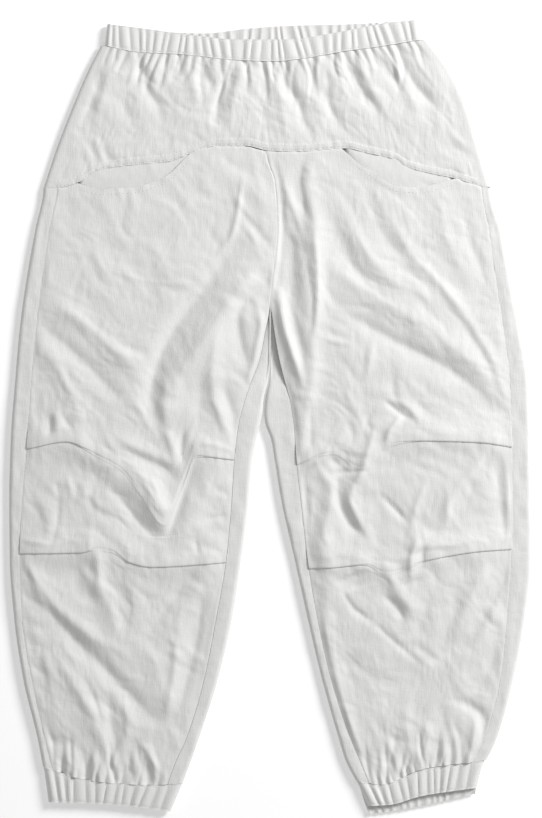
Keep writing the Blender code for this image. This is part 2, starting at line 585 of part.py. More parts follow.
def square_off(normals, rows, starts, ring, end_axis):
    """Turn the normals along the edges so that the wall ends squarely at its seams."""
    edges = [starts[0] + np.arange(len(rows[0][0])), starts[-1] + np.arange(len(rows[-1][0]))]
    for edge in edges:
        normals[edge, 1] = 0.0
    if not ring:
        ends = [(start, start + 1) for start in starts]
        ends += [(start + len(row[0]) - 1, start + len(row[0]) - 2) for start, row in zip(starts, rows)]
        for index, neighbour in ends:
            if abs(normals[index, end_axis]) < 0.75:
                if end_axis == 0:
                    normals[index] = normals[neighbour]
                normals[index, end_axis] = 0.0
    return normals / np.linalg.norm(normals, axis=1)[:, None]


def wall_of_cloth(name, rows, wall, colour, ring=False, end_axis=0):
    """A closed wall of the given thickness round the middle surface that the rows give."""
    starts = np.cumsum([0] + [len(row[0]) for row in rows])[:-1]
    points = np.concatenate([row[1] for row in rows])
    middle = []
    for k in range(len(rows) - 1):
        middle += join_rows(rows[k][0], rows[k + 1][0], starts[k], starts[k + 1], ring)
    normals = square_off(point_normals(points, middle), rows, starts, ring, end_axis)
    outer = points + normals * wall / 2.0
    inner = points - normals * wall / 2.0
    vertices = np.concatenate([outer, inner])
    vertices[:, 2] = np.maximum(vertices[:, 2], 0.0)
    count = len(points)
    faces = list(middle) + [(c + count, b + count, a + count) for a, b, c in middle]
    directed = {(face[i], face[(i + 1) % 3]) for face in middle for i in range(3)}
    for a, b in sorted(directed):
        if (b, a) not in directed:
            faces.append((b, a, a + count))
            faces.append((b, a + count, b + count))
    mesh = bpy.data.meshes.new(name)
    mesh.from_pydata((vertices * MM).tolist(), [], faces)
    turned = bmesh.new()
    turned.from_mesh(mesh)
    bmesh.ops.recalc_face_normals(turned, faces=turned.faces)
    turned.to_mesh(mesh)
    turned.free()
    mesh.shade_smooth()
    mesh.set_sharp_from_angle(angle=np.radians(50.0))
    piece = bpy.data.objects.new(name, mesh)
    bpy.context.scene.collection.objects.link(piece)
    piece.data.materials.append(cloth_material(name + "_cloth", colour))
    return piece


def cloth_material(name, colour):
    """Matt off-white cotton."""
    material = bpy.data.materials.new(name)
    material.use_nodes = True
    shader = material.node_tree.nodes["Principled BSDF"]
    shader.inputs["Base Color"].default_value = (*colour, 1.0)
    shader.inputs["Roughness"].default_value = 0.9
    shader.inputs["Metallic"].default_value = 0.0
    shader.inputs["Sheen Weight"].default_value = 0.2
    return material


def clear_scene():
    for old in list(bpy.data.objects):
        bpy.data.objects.remove(old, do_unlink=True)


def build():
    clear_scene()
    shell_colour = (0.79, 0.785, 0.765)
    bag_colour = (0.82, 0.815, 0.80)
    pieces = []
    waist = {
        "front_top": WAIST_FRONT_TOP, "front_bottom": WAIST_FRONT_BOTTOM,
        "back_top": WAIST_BACK_TOP, "back_bottom": WAIST_BACK_BOTTOM}
    rows = casing_rows(waist, WAIST_GATHERS, WAIST_FRONT_REST)
    pieces.append(wall_of_cloth("waist_casing", rows, CASING, shell_colour, ring=True))
    for face in ("front", "back"):
        pieces.append(wall_of_cloth("yoke_" + face, yoke_rows(face), CLOTH, shell_colour, end_axis=2))
    for side, leg in LEGS.items():
        pieces.append(wall_of_cloth(side + "_leg_front", leg_front_rows(leg), CLOTH, shell_colour))
        pieces.append(wall_of_cloth(side + "_leg_back", leg_back_rows(leg), CLOTH, shell_colour))
        pieces.append(wall_of_cloth(side + "_pocket_bag", pocket_bag_rows(leg), BAG_CLOTH, bag_colour))
        cuff = {key: leg["cuff_" + key] for key in ("front_top", "front_bottom", "back_top", "back_bottom")}
        level = float(read(FRONT_HEIGHT, -290.0))
        rows = casing_rows(cuff, CUFF_GATHERS, level)
        pieces.append(wall_of_cloth(side + "_cuff", rows, CASING, shell_colour, ring=True))
    pants = bpy.data.objects.new("parachute_pants", None)
    bpy.context.scene.collection.objects.link(pants)
    for piece in pieces:
        piece.parent = pants


build()
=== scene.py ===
"""Child's parachute pants laid flat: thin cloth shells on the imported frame, with their creases and stitches.

Lengths in the tables are in millimetres. Paths of creases are given on the picture's grid, whose squares
are 0.8 mm wide, counted from its top left corner.
"""

import bpy
import numpy as np
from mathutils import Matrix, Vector


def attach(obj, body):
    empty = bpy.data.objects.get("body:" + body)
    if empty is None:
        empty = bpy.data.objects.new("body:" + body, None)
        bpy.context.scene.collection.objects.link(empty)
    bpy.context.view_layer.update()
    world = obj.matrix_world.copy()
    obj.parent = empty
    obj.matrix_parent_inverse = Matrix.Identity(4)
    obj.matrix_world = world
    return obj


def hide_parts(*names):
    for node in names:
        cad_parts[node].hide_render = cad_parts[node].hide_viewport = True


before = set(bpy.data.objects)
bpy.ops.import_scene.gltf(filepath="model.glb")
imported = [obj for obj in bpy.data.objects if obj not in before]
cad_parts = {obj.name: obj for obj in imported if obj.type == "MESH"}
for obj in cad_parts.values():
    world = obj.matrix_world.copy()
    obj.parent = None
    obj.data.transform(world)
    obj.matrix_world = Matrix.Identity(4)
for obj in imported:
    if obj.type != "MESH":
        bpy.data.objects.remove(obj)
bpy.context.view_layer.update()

MM = 0.001
SQUARE = 0.8
MIDDLE = (270.25, 417.2)
LIGHT = (0.8, 0.6)    # the way to the key light, seen from above

CLOTH = 1.2            # wall of the solid that each cloth follows
SHOWN_CLOTH = 0.45     # wall of the cloth shown
CREASE_DEPTH = 0.78     # every main crease's height is this share of what its row says
CASING = 2.0
SHOWN_CASING = 1.0
SEAM_GAP = 0.1
CURVED_SEAM_GAP = 0.25
FOLD_REACH = 3.2
STRIP_WEIGHT = 0.35
LIP_TOP = 98.0
LIP_FULL = 76.0
FRONT_REST = 5.4
WAIST_FRONT_REST = 5.8
BAG_REST = 2.5
MOUTH_LIFT = 0.25
BAG_BOTTOM = 124.0
BAG_MARGIN = 3.0
LOWEST_FRONT = 2.4
TUCK_UNDER = 7.0
TUCK_STEP = 0.55
TUCK_PUFF = 2.0        # how much cloth stands up round the edge of a full tuck
PUFF_ABOVE = 17.0
PUFF_BELOW = 10.0
TUCK_BEND = 1.0
TUCK_STANDING = 0.5
TUCK_ABOVE = 24.0
TUCK_BELOW = -9.0
WAIST_GATHERS = 36
WAIST_RISE = 1.3
CUFF_RISE = 1.8

CUFF_REST = 5.2
CUFF_LINE = -285.0     # about where a leg ends and its cuff begins
HIP_LINE = 200.0       # about where a leg meets the yoke
HIP_CORNER = 183.0
OVER_BAG = BAG_BOTTOM - 20.0
FRONT_OVER_BAG = BAG_REST + 1.3
MOUTH_RISE = 1.3       # how much higher a front lies over the bag beside the pocket's mouth
BAG_IN_MOUTH = 2.2     # how far the bag lies above its rest just behind the mouth's edge
HOLLOW_MIDDLE = 62.0   # the dark hollow between the fronts, below the centre seam
HOLLOW_REACH = 34.0
YOKE_STITCHES = (1.2, 5.6)
MOUTH_STITCHES = 4.6
CASING_STITCHES = 1.6

FLOOR = 2.0            # metres, as the next lengths are
LENS = 120.0
SENSOR = 36.0
VIEW_MIDDLE = (0.0006, 0.00656)
VIEW_LEVEL = 0.005
VIEW_HEIGHT = 0.6544   # what the camera sees of this level, top to bottom
LAMP_AWAY = 2.4
LAMP_SIZE = 0.9
LAMP_ENERGY = 54.0
LAMP_ELEVATION = np.radians(32.0)
ROOM_STRENGTH = 0.40
FLOOR_GLOW = 0.26

FRONT_COLUMNS = 112
BACK_COLUMNS = 70
BACK_ROWS = 260
YOKE_COLUMNS = 300
YOKE_ROWS = 60
WAIST_COLUMNS = 330
CUFF_COLUMNS = 150
CASING_ROWS = 20

FRONT_HEIGHT = (
    (-292.0, 5.8), (-262.0, 6.0), (-160.0, 6.0), (-60.0, 6.2), (60.0, 6.2), (170.0, 5.6), (200.0, 5.4),
    (240.0, 6.0), (284.0, 6.0))
CROWN = ((-290.0, 0.3), (-220.0, 1.4), (-110.0, 2.0), (-40.0, 2.2), (60.0, 2.0), (150.0, 0.8), (190.0, 0.2))

WAIST_FRONT_TOP = (
    (-131.0, 314.5), (-96.0, 310.0), (-55.0, 304.5), (-26.0, 302.0), (13.0, 302.0), (53.0, 307.5),
    (90.0, 314.5), (119.0, 318.0))
WAIST_FRONT_BOTTOM = (
    (-133.0, 297.0), (-107.0, 292.0), (-71.0, 290.0), (-26.0, 285.5), (3.0, 284.5), (34.0, 288.0),
    (63.0, 293.0), (86.0, 296.0), (123.0, 302.0))
WAIST_BACK_TOP = (
    (-131.0, 314.5), (-96.0, 309.5), (-55.0, 307.5), (-16.0, 311.5), (13.0, 313.5), (67.0, 315.0),
    (119.0, 318.0))
WAIST_BACK_BOTTOM = (
    (-133.0, 297.0), (-96.0, 291.5), (-55.0, 290.0), (-16.0, 294.0), (13.0, 296.0), (67.0, 297.5),
    (123.0, 302.0))
HIP_RIGHT = (
    (183.0, -182.0), (214.0, -171.8), (254.0, -156.2), (278.0, -145.8), (297.0, -136.0))
HIP_LEFT = ((183.0, 177.0), (214.0, 167.8), (254.0, 155.8), (278.0, 143.8), (302.0, 126.0))
YOKE_SEAM = (
    (-182.0, 183.5), (-170.0, 183.5), (-153.0, 188.0), (-138.0, 197.5), (-107.0, 202.0),
    (-81.0, 204.5), (-66.0, 210.0), (-42.0, 217.0), (-20.0, 217.0), (0.0, 213.0), (21.0, 212.5),
    (61.0, 215.0), (77.0, 211.5), (99.0, 206.5), (112.0, 199.5), (131.0, 194.5), (146.0, 191.5),
    (165.0, 186.0), (177.0, 183.5))
BACK_YOKE_SEAM = ((-182.0, 183.5), (-90.0, 191.0), (0.0, 196.0), (90.0, 191.0), (177.0, 183.5))

LEGS = {
    "right": {
        "outward": -1.0,
        "side": (
            (200.0, -182.0, -170.5), (184.0, -182.0, -170.5), (150.0, -188.6, -176.6),
            (126.0, -193.0, -180.2), (78.0, -200.2, -186.2), (30.0, -204.6, -191.0),
            (-18.0, -208.2, -194.2), (-66.0, -209.4, -198.2), (-114.0, -209.0, -200.2),
            (-162.0, -205.4, -198.2), (-210.0, -198.2, -190.6), (-258.0, -186.6, -180.0),
            (-283.0, -181.8, -174.0)),
        "inside": (
            (220.0, -3.6, -0.2), (208.0, -2.4, -0.2), (187.0, 3.6, -0.2), (151.0, 5.8, -0.2),
            (108.0, 1.6, -0.2), (92.0, -0.1, -0.2), (81.0, -1.6, -0.2), (70.0, -3.8, -0.2),
            (46.0, -8.5, -0.2), (30.0, -14.6, -1.3), (14.0, -20.2, -4.9), (4.0, -23.0, -5.7),
            (-4.0, -24.9, -7.4), (-18.0, -27.0, -10.8), (-34.0, -28.7, -13.8), (-66.0, -30.8, -16.6),
            (-114.0, -35.2, -22.6), (-162.0, -43.4, -30.2), (-210.0, -53.0, -41.4),
            (-258.0, -67.5, -57.0), (-274.0, -75.0, -62.6), (-293.0, -82.0, -69.8)),
        "mouth": ((-154.0, 187.0), (-136.0, 182.6), (-111.0, 184.0), (-88.0, 191.0), (-62.0, 211.0)),
        "upper_tuck": (
            (-193.0, -25.0, 1.0), (-163.0, -19.5, 0.8), (-139.0, -30.0, 0.22), (-118.0, -42.0, 0.16),
            (-104.0, -60.0, 0.12), (-84.0, -86.0, 0.1), (-72.0, -62.0, 0.1), (-58.0, -31.0, 0.35),
            (-29.0, -34.0, 0.9)),
        "lower_tuck": (
            (-200.0, -109.0, 1.0), (-151.0, -108.0, 0.9), (-138.0, -105.0, 0.12), (-128.0, -106.5, 0.2),
            (-112.0, -116.0, 0.55), (-95.0, -119.5, 1.0), (-35.0, -116.0, 1.0)),
        "cuff_front_top": ((-181.8, -280.0), (-142.0, -291.0), (-90.0, -294.5), (-69.8, -293.0)),
        "cuff_front_bottom": ((-178.0, -308.0), (-145.0, -308.8), (-109.0, -311.5), (-79.4, -315.5)),
        "cuff_back_top": ((-181.8, -280.0), (-142.0, -289.0), (-90.0, -292.5), (-69.8, -293.0)),
        "cuff_back_bottom": ((-178.0, -308.0), (-145.0, -307.8), (-109.0, -310.5), (-79.4, -315.5)),
        "cuff_valleys": (0.0, 0.07, 0.14, 0.21, 0.30, 0.38, 0.45, 0.53, 0.59, 0.66, 0.74, 0.83, 0.91, 1.0),
    },
    "left": {
        "outward": 1.0,
        "side": (
            (200.0, 177.0, 169.4), (184.0, 177.0, 169.4), (150.0, 185.4, 175.0), (126.0, 190.2, 178.2),
            (78.0, 199.0, 185.4), (30.0, 207.0, 191.8), (-18.0, 208.6, 193.4), (-66.0, 209.0, 194.2),
            (-114.0, 209.4, 192.8), (-162.0, 204.0, 189.4), (-210.0, 195.0, 184.0),
            (-258.0, 181.4, 171.0), (-277.0, 172.0, 161.5)),
        "inside": (
            (220.0, -3.5, 0.2), (208.0, -2.3, 0.2), (187.0, 3.7, 0.2), (151.0, 5.9, 0.2),
            (108.0, 1.7, 0.2), (92.0, 0.1, 0.2), (81.0, 1.6, 0.2), (70.0, 3.2, 0.2), (46.0, 7.4, 0.2),
            (30.0, 11.4, -0.9), (14.0, 15.8, -4.5), (4.0, 17.6, -5.3), (-4.0, 18.8, -4.6),
            (-18.0, 20.0, 0.2), (-34.0, 21.0, 3.0), (-66.0, 24.6, 8.2), (-114.0, 30.0, 19.0),
            (-162.0, 38.2, 29.6), (-210.0, 49.0, 41.0), (-258.0, 64.8, 54.6), (-274.0, 71.5, 59.5),
            (-292.0, 79.0, 68.6)),
        "mouth": ((59.0, 215.0), (77.0, 198.6), (101.0, 184.8), (120.0, 184.0), (137.0, 188.0),
                  (148.0, 191.0)),
        "upper_tuck": (
            (20.0, -38.0, 0.5), (50.0, -28.5, 0.2), (72.0, -40.0, 0.1), (96.0, -22.0, 0.2),
            (122.0, -18.7, 0.6), (167.0, -20.0, 1.0), (193.4, -23.8, 1.0)),
        "lower_tuck": (
            (28.0, -121.0, 1.0), (52.0, -119.8, 1.0), (76.0, -117.5, 0.4), (92.0, -124.0, 0.12),
            (128.0, -113.5, 0.5), (168.0, -107.0, 1.0), (193.0, -105.4, 1.0)),
        "cuff_front_top": ((68.6, -291.0), (84.0, -294.0), (124.6, -281.4), (172.0, -274.5)),
        "cuff_front_bottom": ((77.6, -311.0), (95.0, -310.0), (121.0, -303.0), (165.0, -296.5)),
        "cuff_back_top": ((68.6, -291.0), (84.0, -294.5), (124.6, -284.5), (172.0, -274.5)),
        "cuff_back_bottom": ((77.6, -318.0), (106.0, -314.0), (134.0, -308.5), (165.0, -301.5)),
        "cuff_valleys": (0.0, 0.09, 0.16, 0.24, 0.32, 0.39, 0.47, 0.55, 0.61, 0.66, 0.73, 0.81, 0.90, 1.0),
    },
}

# Each crease: its path on the picture's grid, its width towards the light, its width away from it, and
# its height, which is below 0 for a trough.
YOKE_CREASES = (
    (((137, 56), (146, 86), (155, 101), (168, 108)), 4.0, 6.0, -2.6),
    (((200, 56), (210, 84), (216, 96)), 4.0, 6.0, -1.8),
    (((236, 60), (226, 84), (216, 114), (218, 128)), 5.0, 4.0, -2.8),
    (((243, 66), (234, 96), (230, 124)), 6.0, 4.0, 1.4),
    (((130, 64), (127, 92), (124, 122)), 7.0, 5.0, -1.2),
    (((100, 77), (92, 102), (80, 128)), 5.0, 4.0, -1.6),
    (((112, 60), (104, 92), (96, 120)), 6.0, 4.0, 1.3),
    (((150, 62), (160, 92)), 6.0, 4.0, 1.2),
    (((182, 60), (192, 82), (196, 104)), 6.0, 4.0, 1.2),
    (((290, 60), (285, 81), (298, 104), (303, 119), (311, 136)), 4.0, 5.0, -2.4),
    (((311, 60), (316, 81), (330, 108), (340, 126)), 4.0, 5.0, -1.5),
    (((325, 62), (331, 109), (346, 132)), 4.0, 5.0, -1.5),
    (((347, 53), (351, 71), (364, 94), (376, 108)), 4.0, 5.0, -2.6),
    (((356, 60), (372, 90), (392, 122)), 7.0, 4.0, 1.6),
    (((374, 50), (393, 78), (403, 101)), 4.0, 5.0, -1.8),
    (((384, 54), (404, 84), (420, 116)), 7.0, 4.0, 1.2),
    (((398, 50), (412, 81), (437, 110)), 4.0, 5.0, -2.0),
    (((410, 56), (430, 88), (448, 118)), 6.0, 4.0, 1.2),
    (((262, 64), (262, 100), (266, 130)), 5.0, 4.0, -1.0),
    (((276, 70), (282, 110), (288, 140)), 5.0, 4.0, 1.0),
)
RIGHT_CREASES = (
    (((236, 246), (207, 285), (176, 326), (158, 362), (151, 396), (154, 420)), 9.0, 7.0, -5.2),
    (((262, 262), (236, 296), (206, 338), (182, 372), (168, 404)), 11.0, 10.0, 5.6),
    (((170, 372), (164, 400), (166, 430)), 8.0, 6.0, 2.0),
    (((44, 296), (95, 330), (150, 384)), 10.0, 7.0, 2.8),
    (((36, 322), (80, 358), (128, 408)), 6.0, 7.0, -2.2),
    (((40, 342), (62, 376), (84, 424)), 9.0, 8.0, 2.4),
    (((66, 300), (112, 338), (147, 354)), 6.0, 5.0, -1.0),
    (((96, 230), (120, 262)), 14.0, 14.0, -1.2),
    (((132, 240), (128, 270)), 12.0, 12.0, -1.0),
    (((50, 412), (50, 440)), 2.5, 4.0, -1.8),
    (((56, 410), (58, 436)), 6.0, 3.0, 1.8),
    (((63, 416), (73, 431)), 2.5, 3.0, -1.6),
    (((215, 332), (213, 389), (229, 440)), 8.0, 5.0, 3.0),
    (((222, 385), (237, 426)), 4.0, 5.0, -1.6),
    (((200, 380), (198, 424)), 5.0, 5.0, -1.2),
    (((268, 280), (243, 303), (238, 325), (247, 368)), 4.0, 7.0, -2.8),
    (((256, 300), (261, 325), (256, 354), (250, 380)), 3.5, 3.0, 2.4),
    (((243, 178), (234, 230), (222, 250)), 2.6, 2.6, 2.0),
    (((208, 228), (222, 250)), 3.0, 3.0, -1.2),
    (((243, 214), (268, 244)), 3.0, 3.0, -1.0),
    (((248, 226), (262, 262)), 3.0, 3.0, 0.8),
    (((250, 152), (258, 180), (266, 210)), 4.0, 5.0, 1.0),
    (((196, 196), (158, 232)), 3.0, 3.0, 0.9),
    (((105, 268), (150, 282), (210, 284)), 1.6, 1.6, 0.5),
    (((60, 446), (84, 456), (108, 472), (126, 486)), 9.0, 15.0, 1.8),
    (((64, 462), (92, 474), (110, 490)), 8.0, 10.0, -1.8),
    (((116, 436), (132, 446), (150, 453), (180, 467)), 7.0, 6.0, 2.4),
    (((122, 448), (138, 456), (156, 464), (178, 476)), 3.5, 6.0, -1.8),
    (((134, 462), (146, 484), (158, 510), (165, 528)), 8.0, 9.0, 4.6),
    (((150, 470), (160, 496), (166, 520)), 6.0, 5.0, 1.8),
    (((107, 484), (122, 501), (139, 523), (154, 537)), 6.0, 5.0, -2.4),
    (((192, 466), (182, 496), (172, 524), (166, 536)), 5.0, 4.0, -3.0),
    (((214, 462), (206, 488), (192, 516), (178, 536)), 10.0, 11.0, 2.8),
    (((166, 430), (172, 446), (180, 464)), 6.0, 4.0, 2.6),
    (((184, 432), (181, 450), (184, 464)), 2.5, 4.0, -2.6),
    (((192, 424), (190, 440), (196, 450)), 5.0, 4.0, 1.4),
    (((196, 447), (212, 445), (233, 456)), 6.0, 4.0, 1.4),
    (((59, 496), (58, 520), (52, 548)), 2.0, 4.0, -1.2),
    (((38, 492), (50, 520), (44, 544)), 8.0, 6.0, 1.6),
    (((68, 476), (73, 498)), 2.5, 3.0, 1.2),
    (((82, 480), (86, 500)), 3.0, 3.0, 1.0),
    (((96, 488), (98, 508)), 3.0, 3.0, 0.8),
    (((56, 482), (60, 496)), 2.5, 2.5, -0.9),
    (((158, 552), (184, 534), (208, 521)), 8.0, 7.0, 2.4),
    (((206, 519), (229, 515)), 1.8, 2.4, -1.0),
    (((196, 540), (199, 558)), 2.0, 3.0, -1.3),
    (((21, 538), (36, 544), (52, 548)), 3.0, 3.0, 1.0),
    (((97, 548), (99, 570), (101, 590)), 5.0, 5.0, 3.0),
    (((74, 562), (84, 584), (96, 606)), 9.0, 9.0, -2.6),
    (((118, 584), (128, 606), (126, 636)), 7.0, 8.0, -1.8),
    (((26, 560), (54, 604), (92, 636), (122, 650)), 7.0, 7.0, 3.2),
    (((40, 596), (66, 630), (104, 668), (156, 722)), 6.0, 7.0, -3.4),
    (((30, 566), (42, 600), (50, 612)), 4.0, 4.0, 1.4),
    (((76, 566), (104, 596), (120, 630)), 5.0, 7.0, 1.6),
    (((128, 570), (134, 606), (132, 636)), 9.0, 7.0, 1.8),
    (((198, 564), (172, 600), (146, 634)), 5.0, 6.0, -2.0),
    (((208, 574), (190, 600), (168, 632)), 8.0, 5.0, 1.6),
    (((202, 592), (196, 640), (180, 706)), 5.0, 9.0, -2.8),
    (((176, 640), (174, 676), (166, 716)), 6.0, 4.0, 2.6),
    (((166, 644), (186, 652)), 3.0, 3.0, -0.9),
    (((136, 640), (158, 668), (168, 712)), 6.0, 8.0, 1.4),
    (((30, 618), (44, 660), (56, 700)), 5.0, 5.0, 1.4),
    (((38, 636), (46, 684)), 3.0, 4.0, -1.0),
    (((60, 664), (84, 700), (104, 740), (112, 770)), 8.0, 6.0, 2.6),
    (((74, 658), (92, 690), (102, 720)), 3.0, 3.5, -2.0),
    (((72, 656), (90, 684), (104, 718)), 3.0, 2.5, 1.4),
    (((108, 690), (112, 730), (120, 762)), 5.0, 8.0, -2.6),
    (((124, 700), (128, 726), (122, 752)), 6.0, 5.0, 2.2),
    (((44, 738), (60, 744), (76, 740)), 5.0, 5.0, -1.2),
    (((140, 740), (160, 772)), 2.6, 2.6, 1.8),
    (((134, 744), (146, 778)), 3.0, 3.0, -1.2),
    (((62, 754), (65, 800)), 3.0, 4.0, -3.0),
    (((70, 756), (74, 786)), 4.0, 3.0, 1.8),
    (((84, 754), (87, 790)), 3.0, 3.5, -2.6),
    (((92, 752), (102, 788)), 5.0, 3.0, 2.2),
    (((112, 764), (116, 786)), 3.0, 3.0, -1.6),
    (((124, 766), (122, 790)), 3.0, 3.0, -2.0),
    (((148, 762), (153, 788)), 3.0, 3.0, -2.0),
)
LEFT_CREASES = (
    (((272, 152), (279, 185), (282, 230), (277, 284)), 3.0, 5.0, -2.4),
    (((276, 160), (292, 206), (306, 244)), 3.0, 3.0, 1.0),
    (((290, 158), (296, 190), (302, 224), (312, 262)), 4.0, 4.0, -1.0),
    (((304, 156), (298, 180), (303, 204), (308, 220)), 3.5, 4.0, -3.8),
    (((316, 158), (308, 184), (314, 222), (316, 256), (317, 304), (312, 340), (312, 372), (304, 424),
      (300, 456)), 7.0, 13.0, 4.2),
    (((314, 230), (318, 280), (316, 330)), 2.0, 3.0, 1.2),
    (((290, 210), (304, 250), (312, 300), (310, 336)), 3.0, 3.0, -1.2),
    (((330, 214), (340, 244), (360, 276), (384, 296), (404, 306)), 9.0, 8.0, -2.4),
    (((344, 214), (362, 248), (392, 280), (440, 304)), 10.0, 8.0, 2.2),
    (((330, 268), (360, 286), (392, 306), (436, 336), (480, 370), (500, 398)), 11.0, 8.0, 3.2),
    (((336, 308), (368, 326), (404, 346), (440, 364), (471, 386), (498, 410)), 6.0, 8.0, -3.0),
    (((378, 196), (410, 252), (456, 304), (490, 356), (504, 392)), 5.0, 5.0, 1.8),
    (((366, 196), (380, 230), (410, 268)), 5.0, 5.0, -1.0),
    (((456, 314), (486, 360), (500, 396)), 3.0, 5.0, -1.2),
    (((440, 196), (448, 240), (470, 290)), 5.0, 5.0, 1.0),
    (((462, 200), (470, 240), (484, 280)), 5.0, 5.0, -1.2),
    (((287, 226), (291, 262), (292, 306)), 7.0, 8.0, -4.6),
    (((279, 292), (284, 325), (297, 368), (302, 384)), 4.0, 4.0, 5.0),
    (((290, 306), (298, 336), (304, 362)), 4.0, 5.0, -1.8),
    (((322, 338), (336, 342), (352, 344)), 2.5, 2.5, 1.0),
    (((372, 342), (366, 380)), 4.0, 3.0, 1.6),
    (((392, 372), (396, 400), (414, 420)), 3.0, 4.0, -1.2),
    (((384, 400), (396, 410), (410, 420)), 2.2, 2.5, -2.4),
    (((394, 400), (408, 408), (420, 422)), 2.5, 2.5, 1.4),
    (((402, 416), (390, 430), (386, 446)), 3.5, 3.0, 2.8),
    (((372, 412), (366, 424), (376, 430)), 3.0, 3.0, -1.2),
    (((375, 426), (368, 450), (364, 468), (350, 494), (356, 516), (370, 541)), 5.0, 4.0, 3.2),
    (((340, 476), (338, 498), (348, 520), (363, 536)), 5.0, 5.0, -3.2),
    (((330, 458), (340, 464), (350, 462)), 7.0, 6.0, -2.6),
    (((331, 473), (345, 472), (361, 471)), 2.0, 2.5, -1.8),
    (((312, 466), (322, 458), (330, 450)), 2.5, 2.5, 1.8),
    (((318, 468), (331, 486), (330, 506), (322, 540), (324, 566)), 8.0, 6.0, 3.2),
    (((306, 480), (304, 520), (308, 560)), 4.0, 6.0, -1.8),
    (((345, 416), (352, 436), (348, 452)), 4.0, 4.0, -1.4),
    (((354, 418), (360, 436)), 3.0, 3.0, 1.0),
    (((382, 496), (396, 510), (408, 522)), 1.8, 2.4, -2.6),
    (((376, 500), (380, 520), (376, 536)), 6.0, 6.0, -1.0),
    (((426, 482), (416, 506), (412, 526)), 3.0, 3.0, 1.6),
    (((487, 450), (473, 472), (450, 500), (447, 526)), 3.0, 6.0, 2.6),
    (((476, 480), (462, 510)), 4.0, 5.0, -1.4),
    (((497, 456), (500, 500), (504, 530)), 5.0, 5.0, -1.8),
    (((506, 460), (508, 500), (508, 546)), 3.0, 3.0, 1.4),
    (((417, 538), (411, 560), (411, 580)), 4.0, 3.5, 2.8),
    (((424, 544), (421, 566)), 2.5, 3.0, -1.6),
    (((324, 536), (330, 552), (332, 566)), 7.0, 6.0, 2.0),
    (((400, 540), (440, 548), (480, 540)), 8.0, 6.0, 1.4),
    (((310, 410), (312, 452)), 3.0, 4.0, -1.6),
    (((352, 572), (358, 590)), 12.0, 12.0, -2.8),
    (((343, 590), (352, 606), (372, 622)), 2.0, 3.0, -1.8),
    (((372, 620), (390, 638), (421, 664)), 2.5, 2.5, -1.3),
    (((382, 560), (396, 590), (409, 606), (408, 622)), 8.0, 5.0, 3.0),
    (((384, 596), (396, 606), (404, 620)), 3.0, 4.0, -2.2),
    (((400, 586), (424, 578)), 3.0, 3.0, -1.0),
    (((508, 572), (486, 612), (458, 645), (428, 662)), 5.0, 7.0, -2.6),
    (((458, 586), (452, 626), (436, 656)), 7.0, 8.0, -1.8),
    (((430, 592), (422, 620), (414, 640)), 5.0, 5.0, -1.2),
    (((486, 560), (466, 606), (446, 644)), 8.0, 6.0, 2.2),
    (((500, 590), (480, 640), (452, 664)), 8.0, 5.0, 1.6),
    (((426, 662), (400, 686), (380, 712)), 9.0, 10.0, -2.6),
    (((332, 572), (326, 620), (336, 680), (350, 730)), 7.0, 7.0, 2.2),
    (((342, 656), (354, 670)), 8.0, 7.0, -1.8),
    (((498, 640), (486, 676), (466, 700)), 6.0, 7.0, -2.6),
    (((455, 700), (474, 708), (486, 724), (486, 748)), 5.0, 6.0, -3.2),
    (((476, 720), (468, 768)), 5.0, 3.5, 3.0),
    (((440, 706), (446, 740)), 6.0, 6.0, -1.6),
    (((396, 734), (388, 772)), 4.0, 4.0, -2.8),
    (((388, 738), (400, 776)), 4.0, 3.0, 2.2),
    (((408, 700), (406, 724), (414, 760)), 4.0, 4.0, 1.2),
    (((428, 720), (418, 766)), 5.0, 4.0, 2.4),
    (((436, 736), (432, 766)), 4.0, 5.0, -1.4),
    (((363, 752), (366, 784)), 3.0, 3.5, -2.8),
    (((346, 712), (356, 766)), 5.0, 4.0, 2.4),
    (((404, 764), (420, 796)), 3.0, 3.0, -2.0),
    (((446, 768), (452, 786)), 2.5, 2.5, -1.6),
    (((456, 764), (462, 784)), 2.5, 2.5, 1.4),
)
BACK_CREASES = (
    (((160, 120), (168, 190), (150, 260)), 8.0, 8.0, 0.9),
    (((380, 120), (372, 190), (392, 260)), 8.0, 8.0, 0.9),
    (((250, 300), (190, 360), (120, 400)), 9.0, 7.0, 1.1),
    (((290, 300), (350, 360), (430, 400)), 9.0, 7.0, 1.1),
    (((60, 330), (130, 380), (180, 440)), 7.0, 9.0, 0.8),
    (((480, 330), (410, 380), (360, 440)), 7.0, 9.0, 0.8),
    (((60, 470), (120, 480), (220, 460)), 5.0, 7.0, 1.0),
    (((320, 460), (400, 482), (490, 474)), 5.0, 7.0, 1.0),
    (((50, 560), (120, 640), (150, 720)), 8.0, 7.0, 1.0),
    (((490, 560), (420, 640), (400, 720)), 8.0, 7.0, 1.0),
    (((210, 540), (170, 620), (120, 700)), 7.0, 7.0, 0.8),
    (((330, 540), (380, 620), (440, 690)), 7.0, 7.0, 0.8),
)


def place(point):
    """A place on the picture's grid in millimetres."""
    return SQUARE * (point[0] - MIDDLE[0]), SQUARE * (MIDDLE[1] - point[1])


